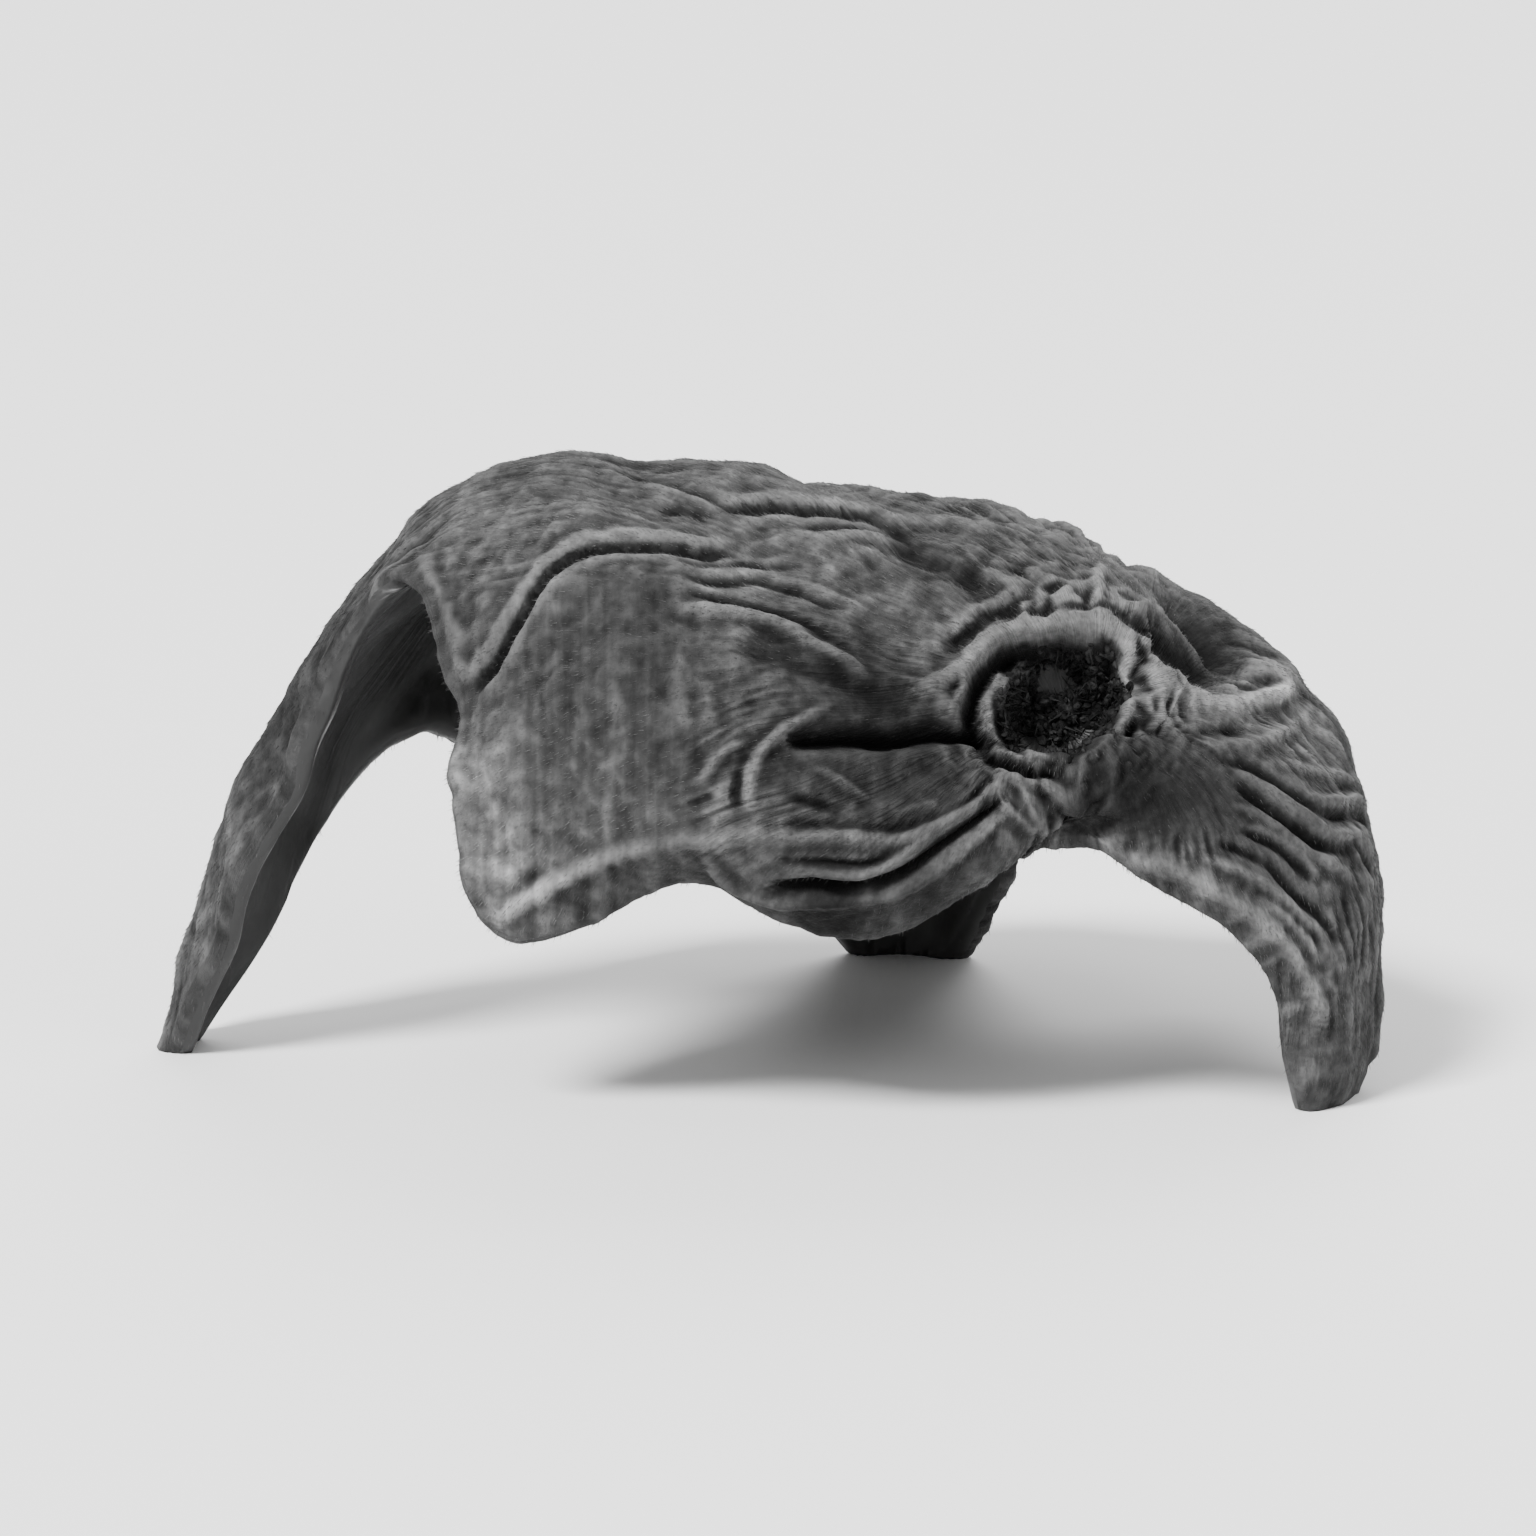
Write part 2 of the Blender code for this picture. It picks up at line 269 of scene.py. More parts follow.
SEEN_FROM = math.radians(12.0)
FOLDS = [
    # shoulder fold, which turns the front panel over to the top
    ([(-7.6, 7.9), (-7.2, 8.8), (-6.8, 9.6), (-6.2, 10.5),
      (-5.3, 11.3), (-4.0, 11.5), (-2.6, 11.3), (-1.6, 11.2)], 0.07, 0.09),
    ([(-7.4, 7.8), (-6.95, 8.6), (-6.55, 9.4), (-5.95, 10.4),
      (-5.2, 11.05), (-4.0, 11.2), (-2.6, 11.05), (-1.6, 10.9)], -0.34, 0.11),
    ([(-8.7, 11.3), (-8.2, 10.3), (-7.7, 9.0), (-7.6, 8.0)], 0.12, 0.16),
    # short folds right of the shoulder
    ([(-3.4, 10.95), (-2.4, 10.8), (-1.4, 10.75), (-0.3, 10.7)], -0.13, 0.09),
    ([(-3.0, 10.55), (-2.0, 10.4), (-1.0, 10.3), (0.0, 10.0), (0.9, 9.6)], -0.15, 0.1),
    ([(-1.2, 10.5), (-0.2, 10.3), (0.7, 9.95), (1.4, 9.5)], 0.08, 0.1),
    ([(-3.0, 10.15), (-1.9, 9.98), (-0.9, 9.75), (0.1, 9.35), (1.0, 8.85)], -0.15, 0.1),
    # brow, and the shade under it
    ([(-3.0, 9.75), (-2.2, 9.65), (-1.2, 9.5), (-0.3, 9.2), (0.6, 8.7), (1.4, 8.3)], 0.28, 0.13),
    ([(-1.8, 9.1), (-0.6, 8.75), (0.5, 8.25), (1.4, 7.8), (2.4, 7.6)], -0.28, 0.34),
    # crease that runs into the stub, and the tongue of skin below it
    ([(-0.7, 6.95), (0.2, 6.95), (1.4, 7.0), (2.6, 7.05), (3.6, 7.0), (4.0, 6.7)], -0.95, 0.2),
    ([(-2.7, 5.8), (-2.2, 6.2), (-1.8, 6.7), (-1.2, 6.95)], 0.2, 0.12),
    ([(-1.35, 5.2), (-1.35, 5.9), (-1.2, 6.5), (-0.8, 6.95), (-0.1, 7.4), (0.7, 7.7)], 0.22, 0.12),
    ([(-1.65, 5.2), (-1.6, 5.9), (-1.5, 6.4)], -0.16, 0.12),
    ([(-2.8, 5.4), (-2.4, 5.6), (-1.9, 5.8)], -0.1, 0.12),
    ([(-0.2, 6.5), (0.5, 6.1), (1.1, 5.7), (1.7, 5.4)], 0.12, 0.12),
    ([(1.6, 5.25), (2.3, 5.4), (2.9, 5.6)], 0.12, 0.11),
    ([(-0.9, 5.7), (0.0, 5.5), (0.8, 5.3)], -0.14, 0.14),
    # bands of the lip
    ([(-7.0, 2.8), (-6.2, 3.4), (-5.2, 4.0), (-4.2, 4.45),
      (-3.0, 4.7), (-1.4, 4.8), (0.4, 4.8), (1.8, 4.85)], 0.24, 0.22),
    ([(-1.4, 5.0), (0.4, 5.0), (1.8, 5.0), (2.8, 5.25), (3.6, 5.75), (4.2, 6.2)], -0.16, 0.12),
    ([(0.4, 4.7), (1.8, 4.75), (2.8, 5.1), (3.6, 5.6),
      (4.3, 5.95), (5.2, 5.9), (5.8, 5.5), (6.2, 5.1)], 0.24, 0.16),
    ([(-2.4, 4.4), (-1.8, 3.85), (-1.0, 3.5), (0.2, 3.4),
      (1.4, 3.5), (2.6, 4.0), (3.6, 4.8), (4.4, 5.4)], 0.2, 0.13),
    ([(-1.0, 4.3), (0.3, 4.2), (1.2, 4.25), (2.0, 4.5)], -0.14, 0.1),
    ([(-0.6, 4.05), (0.6, 3.95), (1.4, 4.1), (2.2, 4.55), (3.0, 5.05), (3.8, 5.6)], 0.18, 0.12),
    ([(-1.2, 3.75), (0.2, 3.7), (1.2, 3.75), (2.0, 4.05),
      (2.8, 4.6), (3.5, 5.15), (4.4, 5.7)], -0.45, 0.12),
    # ridges along the top
    ([(-4.4, 12.6), (-3.0, 12.3), (-1.8, 12.2), (-0.8, 12.25), (0.6, 12.1), (1.8, 12.0)], 0.08, 0.12),
    ([(-4.4, 12.9), (-3.4, 12.6), (-2.4, 12.3), (-1.1, 12.0),
      (0.3, 12.0), (1.4, 11.8), (2.4, 11.3)], -0.24, 0.12),
    ([(-3.6, 12.0), (-2.7, 11.9), (-1.9, 11.8)], -0.12, 0.13),
    ([(-0.6, 11.55), (0.8, 11.55), (2.2, 11.5), (3.3, 11.35)], -0.12, 0.1),
    ([(-1.6, 11.3), (-0.2, 11.3), (1.0, 11.35), (2.0, 11.25)], 0.1, 0.14),
    ([(1.0, 11.85), (2.4, 11.75), (3.6, 11.5), (4.8, 11.1), (5.8, 10.6)], 0.16, 0.13),
    ([(1.2, 11.4), (2.2, 11.15), (3.0, 10.75), (3.6, 10.3), (4.2, 9.75)], -0.3, 0.3),
    ([(3.5, 10.7), (4.1, 10.4), (4.8, 9.95)], 0.16, 0.12),
    ([(3.9, 11.0), (4.5, 10.8), (5.1, 10.45), (5.6, 10.1)], 0.18, 0.12),
    ([(4.0, 10.75), (4.6, 10.55), (5.2, 10.15)], -0.18, 0.1),
    ([(4.6, 11.1), (5.3, 10.8), (5.9, 10.5)], -0.14, 0.11),
    ([(3.8, 10.15), (4.3, 9.9), (4.8, 9.6)], 0.12, 0.1),
    # dimple right of the stub, and the folds that carry it
    ([(7.2, 9.7), (7.9, 9.3), (8.7, 8.8), (9.6, 8.4)], -0.7, 0.6),
    ([(7.2, 8.6), (7.8, 8.1), (8.5, 7.75), (9.3, 7.65), (10.1, 7.85), (10.8, 8.3)], 0.34, 0.2),
    ([(9.4, 8.75), (10.0, 8.45), (10.6, 8.1)], 0.2, 0.14),
    ([(9.0, 9.3), (9.8, 8.9), (10.7, 8.5)], -0.12, 0.13),
    ([(8.3, 7.15), (9.0, 7.1), (9.7, 7.15)], -0.18, 0.13),
    ([(8.2, 6.85), (9.2, 6.8), (10.2, 7.0), (11.0, 7.5)], 0.14, 0.16),
    ([(7.0, 8.6), (7.5, 8.1), (7.6, 7.5), (7.9, 7.0), (8.4, 6.7)], 0.28, 0.14),
    ([(7.9, 8.0), (7.95, 7.5), (8.3, 7.1)], 0.16, 0.1),
    # long folds down the right limb
    ([(8.8, 6.2), (9.6, 6.15), (10.3, 5.7), (10.8, 5.25),
      (11.4, 4.9), (11.9, 4.85), (12.3, 4.5), (12.5, 3.8)], 0.12, 0.12),
    ([(9.0, 6.0), (9.6, 5.8), (10.2, 5.35), (10.8, 4.85), (11.3, 4.55), (11.9, 4.45)], -0.36, 0.11),
    ([(8.8, 5.6), (9.6, 5.4), (10.2, 5.0), (10.9, 4.45), (11.5, 4.1), (12.0, 3.5)], 0.11, 0.11),
    ([(9.2, 5.0), (9.9, 4.7), (10.6, 4.2), (11.2, 3.7)], -0.24, 0.1),
    ([(8.6, 6.45), (9.4, 6.4), (10.1, 6.05), (10.7, 5.6), (11.2, 5.2)], -0.2, 0.1),
    ([(9.6, 5.05), (10.3, 4.65), (10.9, 4.15), (11.4, 3.6)], 0.08, 0.09),
    ([(10.6, 5.8), (11.3, 5.6), (12.0, 5.55), (12.6, 5.2),
      (12.9, 4.5), (12.9, 3.4), (12.8, 2.2)], 0.2, 0.13),
    ([(10.9, 5.35), (11.6, 5.3), (12.2, 5.15), (12.5, 4.8)], -0.3, 0.1),
    ([(10.0, 6.5), (10.9, 6.3), (11.7, 6.1), (12.4, 5.9)], 0.12, 0.13),
    ([(8.2, 4.5), (9.1, 4.15), (9.8, 3.75), (10.6, 3.2), (11.3, 2.4)], 0.18, 0.13),
    ([(8.6, 4.75), (9.5, 4.4), (10.3, 3.8), (11.1, 3.1), (11.7, 2.2)], -0.16, 0.11),
    ([(9.6, 3.55), (10.3, 3.1), (10.9, 2.4), (11.4, 1.6)], 0.12, 0.12),
    ([(5.9, 4.9), (6.8, 4.4), (7.8, 4.2), (8.8, 3.65),
      (9.6, 3.1), (10.3, 2.4), (10.9, 1.4), (11.2, 0.4)], 0.3, 0.2),
    # collar of the stub, the groove inside it and the curled flap in the groove
    ([(1.9, 8.0), (2.7, 8.15), (3.4, 8.5), (3.9, 9.0), (4.6, 9.35),
      (5.4, 9.4), (6.2, 9.4), (6.8, 9.1), (7.0, 8.4)], 0.6, 0.17),
    ([(2.6, 8.6), (3.2, 9.0), (3.7, 9.5), (4.4, 9.85), (5.1, 9.9)], -0.2, 0.2),
    ([(3.8, 6.6), (3.55, 7.3), (3.65, 8.1), (4.1, 8.7), (4.8, 8.98), (5.5, 8.9), (6.1, 8.8)], -0.75, 0.19),
    ([(5.4, 8.62), (4.8, 8.58), (4.35, 8.3), (4.2, 7.7), (4.35, 7.1), (4.7, 6.8), (5.1, 6.5)], 0.5, 0.12),
    ([(3.5, 7.1), (3.8, 6.6), (4.4, 6.35), (5.0, 6.15), (5.6, 6.2)], -0.55, 0.16),
    ([(6.95, 8.0), (6.85, 7.7), (6.7, 7.4)], 0.3, 0.16),
    ([(6.7, 7.3), (6.6, 7.05), (6.4, 6.9)], 0.28, 0.15),
    ([(4.9, 6.65), (5.05, 6.5), (5.2, 6.3)], 0.15, 0.15),
    ([(6.9, 7.4), (6.95, 7.1), (6.9, 6.8)], -0.45, 0.13),
    # puckers that run up from the collar
    ([(5.3, 9.5), (5.5, 9.9), (5.8, 10.2)], 0.32, 0.14),
    ([(6.1, 9.5), (6.2, 10.0), (6.35, 10.5), (6.5, 10.9)], 0.24, 0.14),
    ([(5.8, 9.5), (5.95, 9.8), (6.1, 10.2)], -0.26, 0.11),
    ([(6.7, 9.3), (7.1, 9.7), (7.5, 10.0)], 0.22, 0.14),
    ([(7.0, 8.9), (7.4, 9.1), (7.6, 9.5)], 0.2, 0.13),
    ([(7.2, 8.2), (7.6, 8.35), (8.0, 8.25)], 0.25, 0.13),
]
FOLD_REACH = 3.0  # half widths past which a fold is no longer felt
FOLD_END = 0.9  # how long each end of a fold takes to rise,
FOLD_END_SHARE = 0.4  # and the most of its length that this may be
FOLD_SWAY = 0.1  # how far a fold strays from its path
FOLD_FADING = 0.35  # the share by which its lift comes and goes
STEPS_PER_POINT = 10
FACING = (0.06, 0.38)  # how squarely a place must face the front view: to carry folds at all, and in full


def seen(points):
    """Each point's place in the front view: x, and height square to the line of sight."""
    height = points[..., 2] * math.cos(SEEN_FROM) + points[..., 1] * math.sin(SEEN_FROM)
    return np.stack((points[..., 0], height), axis=-1)


def facing_front(normals):
    """A share that is 1 where the surface faces the front view, and 0 where it turns away."""
    square = normals[..., 2] * math.sin(SEEN_FROM) - normals[..., 1] * math.cos(SEEN_FROM)
    return smooth_step(*FACING, square)


def fold_heights(sheet, normals):
    """How far the drawn folds lift or sink the front of the sheet."""
    sway_x = noise_at(sheet, scale=0.8, seed=127.0)
    sway_height = noise_at(sheet, scale=0.8, seed=131.0)
    place = seen(sheet) + FOLD_SWAY * np.stack((sway_x, sway_height), axis=-1)
    facing = facing_front(normals)
    lively = 1.0 + FOLD_FADING * noise_at(sheet, scale=1.1, seed=137.0)
    heights = np.zeros(sheet.shape[:-1])
    for path, lift, half_width in FOLDS:
        steps = np.linspace(0.0, 1.0, STEPS_PER_POINT * len(path))
        curve = spline(path, steps)
        pace = np.gradient(curve, axis=0)
        step_lengths = np.linalg.norm(pace, axis=1)
        heading = pace / step_lengths[:, None]
        low = curve.min(axis=0) - FOLD_REACH * half_width
        high = curve.max(axis=0) + FOLD_REACH * half_width
        near = ((place > low) & (place < high)).all(axis=-1) & (facing > 0.0)
        apart = np.linalg.norm(place[near][:, None, :] - curve[None, :, :], axis=2)
        nearest = apart.argmin(axis=1)
        offset = place[near] - curve[nearest]
        slip = (offset * heading[nearest]).sum(axis=1)
        slip = np.clip(slip, -step_lengths[nearest] / 2.0, step_lengths[nearest] / 2.0)
        distance = np.linalg.norm(offset - slip[:, None] * heading[nearest], axis=1)
        end = min(FOLD_END_SHARE, FOLD_END / step_lengths.sum())
        fade = smooth_step(0.0, end, steps[nearest]) * smooth_step(0.0, end, 1.0 - steps[nearest])
        heights[near] += lift * fade * lively[near] * np.exp(-((distance / half_width) ** 2))
    return heights * facing


# The thickness of the down, and the light and shade painted over it. It grew thick over most of the outer
# side, and thinner in the smooth hollows, where the dark skin shows through. Each patch is drawn in the front
# view: its place, its reach, and how much lighter it makes the skin, in stops. Most patches paint light and
# shade: painted shade in the hollows, under the brow, on the tongue, under the stub, on the left wing and
# under the lip, and painted highlights on the collar, the folds below the dimple and the rims.

DOWN_AND_LIGHTING_PATCHES = [
    ((-6.7, 4.0), 1.5, 1.9),  # lower corner of the front panel
    ((-7.4, 6.3), 0.9, 2.2),  # its left edge
    ((-7.4, 11.8), 1.3, 0.75),  # top, left of the middle
    ((-4.4, 12.3), 1.4, 0.4),
    ((-1.5, 11.6), 1.6, 0.45),
    ((-2.2, 9.6), 0.9, 0.45),  # rest of the front panel
    ((-4.8, 8.6), 1.7, -0.5),
    ((-3.0, 6.6), 1.1, -0.3),
    ((1.2, 8.0), 1.3, -0.75),  # shade under the brow
    ((-0.6, 8.2), 1.0, -0.5),
    ((1.8, 6.3), 1.4, -1.3),  # tongue
    ((0.0, 6.1), 1.0, -0.8),
    ((2.9, 10.8), 0.6, -0.5),  # valley above the collar
    ((1.6, 9.9), 1.2, 0.2),
    ((6.9, 8.4), 0.8, 1.4),  # collar
    ((7.4, 7.5), 0.5, 0.6),
    ((5.8, 9.8), 0.8, 0.5),
    ((3.4, 8.6), 0.6, 0.7),
    ((4.6, 9.4), 0.5, 0.5),
    ((8.3, 9.1), 1.0, -0.4),  # dimple
    ((8.5, 7.7), 0.5, 1.4),  # folds below it
    ((9.3, 7.6), 0.5, 1.4),
    ((10.2, 7.95), 0.5, 1.4),
    ((10.9, 7.3), 1.0, 1.55),
    ((6.9, 5.8), 1.1, -3.1),  # hollow under the stub
    ((5.9, 5.3), 0.45, -2.6),
    ((8.3, 5.4), 0.9, -0.9),  # top of the right limb
    ((10.2, 5.4), 1.3, -0.7),
    ((11.0, 2.2), 1.5, 0.4),  # its tip
    ((-10.8, 8.0), 3.0, -1.2),  # left wing
    ((0.4, 3.1), 0.8, -5.0),  # underside of the lip
    ((2.4, 3.5), 0.7, -2.4),
    ((-2.0, 3.4), 0.5, -2.0),
    ((6.5, 4.8), 0.4, 1.6),  # rim of the right limb
    ((7.2, 4.5), 0.5, 1.2),
    ((8.4, 3.9), 0.5, 1.2),
    ((9.8, 2.9), 0.6, 1.2),
]
PATCHED = (0.3, 1.4)  # stops from which a patch's skin is smoother too, and wholly smooth
DIMPLE = (8.4, 9.1)  # the hollow right of the stub, where the skin stayed smooth
DIMPLE_REACH = 1.3
DIMPLE_DEPTH = (2.0, 0.5)  # y from which the skin counts as the dimple's, and wholly so
FRONT_DEPTH = (-5.0, -6.0)  # and the same for the front's
WING_EDGE = -8.5  # left of this x only the left wing is seen, from its edge

front_view = seen(outer_base)
front_x, front_height = front_view[..., 0], front_view[..., 1]


def apart_from(x, height):
    """The distance of each point of the downy side from a place in the front view."""
    return np.hypot(front_x - x, front_height - height)


down_and_lighting_stops = np.zeros(front_x.shape)
for place, reach, more in DOWN_AND_LIGHTING_PATCHES:
    down_and_lighting_stops += more * np.exp(-((apart_from(*place) / reach) ** 2))
facing = facing_front(outer_normals)
front_side = np.maximum(facing, smooth_step(*FRONT_DEPTH, outer_base[..., 1]))
down_and_lighting_stops *= np.where(front_x < WING_EDGE, 1.0, front_side)
in_dimple = np.exp(-((apart_from(*DIMPLE) / DIMPLE_REACH) ** 4))
in_dimple *= smooth_step(*DIMPLE_DEPTH, outer_base[..., 1])
smoothness = np.maximum(smooth_step(*PATCHED, np.abs(down_and_lighting_stops)), in_dimple)
# The down's thickness with painted shade and painted highlights laid over it, and a little random tone
clouds = down_and_lighting_stops + 0.5 * noise_at(outer_sheet, scale=0.5, seed=139.0)
shaded_down = 2.0 ** (clouds + 0.35 * noise_at(outer_sheet, scale=1.7, seed=149.0))


# The wrinkles of the downy side. The skin shrank less than the flesh under it, so it puckered into ridges
# about half a millimetre apart, which run outward from the stub and wander, split and join. On the back
# they lie on broader folds, and the front panel has fine upright ridges instead.

WRINKLE_WIDTH = 0.52  # from one ridge to the next
WRINKLE_LENGTH = 6.0  # how many times longer than wide a ridge is
WRINKLE_HEIGHT = 0.12
SMALL_RIDGE = 0.22 * WRINKLE_HEIGHT  # height of the ridges of half that width
BROAD_WIDTH = 2.1
BROAD_HEIGHT = 0.22
VALLEY = 1.7  # how steeply the skin drops beside a crest
WANDER = 0.7  # how far the ridges stray to either side
PANEL_RIDGE = 0.06  # height of the upright ridges of the front panel
LINES_ACROSS = 2.2  # waves of noise to the millimetre, across those ridges
LINES_ALONG = 0.25  # and along them
ZONE_HEIGHT = 0.07  # height of the faint rings that its growth left
ZONE_SPREAD = 3.0  # how unevenly a ring runs round the stub
ZONES = 0.8  # rings to the millimetre
CRUMPLE_HEIGHT = 0.05
WAVE = 1.7  # length of one wave of the noise
OCTAVES = range(3, 10)
OCTAVE_REACH = 0.55  # how far an octave is used beside its own place, in octaves
LEAST_SHARE = 0.02  # and the share below which it isn't

# Where each part of the skin begins, and where it is full: by x, by height, or by row
PANEL_RIGHT = (-1.6, -3.4)
PANEL_TOP = (10.9, 9.9)
LIMB_LEFT = (6.5, 8.5)
HEM_LEFT = (5.5, 6.5)
HEM_ROWS = (0.68, 0.84)
LIP_LEFT = (-4.5, -3.0)
LIP_RIGHT = (5.4, 4.2)
LIP_TOP = (5.6, 4.8)
STUB_ROWS = (0.04, 0.16)
BACK_LENGTH = (2.5, 5.0)  # from the stub
GATHERED = (0.38, 0.75)  # the patches that gathered most, by their noise


def lengths_out(sheet):
    """How far each point lies from the stub, along its column."""
    return np.linalg.norm(np.diff(sheet, axis=0, prepend=sheet[:1]), axis=2).cumsum(axis=0)


lengths = lengths_out(outer_sheet)
spread = np.linalg.norm(np.roll(outer_sheet, -1, axis=1) - outer_sheet, axis=2) * COLUMNS
wander = WANDER * noise_at(outer_sheet, scale=0.45, seed=51.0)


def ridges(width, stretch, seed):
    """Noise drawn out from the stub to the rim, with about one wave to a width, wherever the point lies."""
    turn = turns + 2.0 * np.pi * wander / np.maximum(spread, 1.0)
    total = np.zeros(turn.shape)
    power = np.full(turn.shape, 1e-6)
    for octave in OCTAVES:
        count = 2.0**octave
        share = np.exp(-((np.log2(np.maximum(spread, 0.1) / (count * width)) / OCTAVE_REACH) ** 2))
        used = share > LEAST_SHARE
        radius = count * WAVE / (2.0 * np.pi)
        ring = drum(turn[used], radius, lengths[used] * WAVE / (stretch * width))
        total[used] += share[used] * noise_at(ring, scale=1.0, seed=seed + 3.0 * octave)
        power[used] += share[used] ** 2
    return total / np.sqrt(power)


panel = facing * smooth_step(*PANEL_RIGHT, front_x) * smooth_step(*PANEL_TOP, front_height)
limb = smooth_step(*LIMB_LEFT, front_x)
hem = facing * smooth_step(*HEM_LEFT, front_x) * smooth_step(*HEM_ROWS, outer_rows)[:, None]
lip = facing * smooth_step(*LIP_LEFT, front_x) * smooth_step(*LIP_RIGHT, front_x)
lip *= smooth_step(*LIP_TOP, front_height)
away_from_stub = smooth_step(*STUB_ROWS, outer_rows)[:, None]

# Half-millimetre ridges, strongest where the skin gathered, on the front and down the right limb
wrinkles = WRINKLE_HEIGHT * (0.5 - VALLEY * np.abs(ridges(WRINKLE_WIDTH, WRINKLE_LENGTH, seed=61.0)))
gathered = smooth_step(*GATHERED, 0.5 + 0.5 * noise_at(outer_sheet, scale=0.3, seed=71.0))
wrinkles *= (0.15 + 1.2 * gathered) * (0.55 + 0.45 * facing) * (1.0 + 0.6 * limb * facing)
wrinkles += SMALL_RIDGE * ridges(WRINKLE_WIDTH * 0.5, 2.0 * WRINKLE_LENGTH, seed=97.0)

# The back's broad folds, and the smooth places where no ridge shows
broad_folds = BROAD_HEIGHT * (0.5 - VALLEY * np.abs(ridges(BROAD_WIDTH, WRINKLE_LENGTH, seed=157.0)))
wrinkles += broad_folds * (1.0 - 0.85 * facing) * smooth_step(*BACK_LENGTH, lengths)
wrinkles *= (1.0 - 0.93 * panel) * (1.0 - 0.95 * smoothness) * (1.0 - 0.8 * lip) * (1.0 - 0.8 * hem)

# Growth rings, the panel's upright ridges, and a faint crumple everywhere
zones = noise_at(drum(turns, ZONE_SPREAD, ZONES * lengths), scale=1.0, seed=151.0)
wrinkles += ZONE_HEIGHT * zones * (1.0 - panel)
lines = (front_x * LINES_ACROSS, front_height * LINES_ALONG, outer_sheet[..., 1] * LINES_ALONG)
wrinkles += PANEL_RIDGE * panel * noise_at(np.stack(lines, axis=-1), scale=1.0, seed=79.0)
crumple = CRUMPLE_HEIGHT * noise_at(outer_sheet, scale=2.3, seed=83.0)
crumple += 0.5 * CRUMPLE_HEIGHT * noise_at(outer_sheet, scale=5.2, seed=89.0)


# The torn stub. The ear hung on the wood by a short thick stub; pulled off and dried, it left a pit with
# crumbled flesh in it, inside the collar that the folds above draw, and the skin all round it is crinkled.
# The pit
# is painted dark: painted shade in the hollow, together with the torn flesh's own dark colour.

PIT_RADIUS = 1.15
PIT_DEPTH = 1.7
RUBBLE = 0.34  # height of the crumbled flesh
CRINKLE = 0.24

# Distances from the stub at which each of these begins, and is full
CRINKLED = (3.4, 2.0)
CRINKLED_INSIDE = (1.1, 1.5)
CRUMBLED = (1.35, 0.9)
DARKENED = (1.45, 1.05)
TORN = (1.4, 1.0)

stub_distance = np.linalg.norm(outer_sheet - np.array(STUB), axis=-1)
uneven_distance = stub_distance * (1.0 + 0.25 * noise_at(outer_sheet, scale=0.7, seed=41.0))
uneven_distance += 0.25 * noise_at(outer_sheet, scale=1.6, seed=43.0)
near_stub = smooth_step(*CRINKLED, stub_distance)

rubble = noise_at(outer_sheet, scale=2.6, seed=53.0) + 0.6 * noise_at(outer_sheet, scale=5.5, seed=59.0)
crinkles = 0.6 - 2.2 * np.abs(noise_at(outer_sheet, scale=1.5, seed=67.0))
crinkles += 0.9 * np.abs(noise_at(outer_sheet, scale=3.4, seed=73.0))
scar = -PIT_DEPTH * np.exp(-((uneven_distance / PIT_RADIUS) ** 6))
scar += RUBBLE * rubble * smooth_step(*CRUMBLED, uneven_distance)
scar += CRINKLE * crinkles * near_stub * smooth_step(*CRINKLED_INSIDE, uneven_distance)


# The finished skin. One closed surface: over the downy side, round the thin rim, which dried a little ragged,
# and back along the smooth side. It carries what its colours follow.

RAGGED = 0.13  # how far the rim strays in and out
RAGGED_SPREAD = 9.0  # how closely its waves stand round the ear
RAGGED_ROWS = (0.93, 1.0)
TALLEST = 0.45  # no fold or wrinkle stands higher than this over the skin round it
FOLDS_INSIDE = 0.3  # how much of a fold shows on the smooth side
UNEVEN_INSIDE = 0.04
RIM_STEPS = 5  # rings round the edge of the rim
RIM_BULGE = 0.85  # how far the edge stands out, beside half its thickness
EDGE_OUTSIDE = (0.955, 1.0)  # rows that count as the edge, on the downy side
EDGE_INSIDE = (0.97, 1.0)  # and on the smooth side
# How widely the relief is spread into painted shade in the creases and painted highlights on the folds
RELIEF_RANGE = 0.9  # from the darkest creases to the lightest folds
CREST_RANGE = 0.15  # and the same for what stands over its own surroundings
GRAIN_START = 0.3  # distance from the stub where the fibres start
GRAIN_SCALE = 10.0
FEET = (0.3, 0.6)  # height from which hairs grow, and grow in full
MOST_HAIRS = 1.3  # how much thicker than usual they may grow
FINISHED_FACES = 197000

outer_relief = fold_heights(outer_base, outer_normals) + scar
outer_relief += (wrinkles + crumple) * away_from_stub * (1.0 - 0.85 * near_stub)
outer_relief = np.minimum(outer_relief, TALLEST * np.tanh(outer_relief / TALLEST))
outer_skin = outer_base + outer_normals * outer_relief[..., None]

inner_relief = FOLDS_INSIDE * fold_heights(inner_base, inner_normals)
inner_relief += UNEVEN_INSIDE * noise_at(inner_sheet, scale=0.9, seed=101.0)
inner_skin = inner_base + inner_normals * inner_relief[..., None]

growth = np.gradient(outer_sheet, axis=0)
growth /= np.maximum(np.linalg.norm(growth, axis=2, keepdims=True), 1e-6)
outward = growth[-1]
edge_points = drum(turns, RAGGED_SPREAD, 0.0)
ragged = noise_at(edge_points, scale=1.0, seed=103.0) + 0.5 * noise_at(edge_points, scale=2.6, seed=107.0)
for skin, rows in ((outer_skin, outer_rows), (inner_skin, inner_rows)):
    skin += outward * (RAGGED * ragged * smooth_step(*RAGGED_ROWS, rows)[:, None])[..., None]

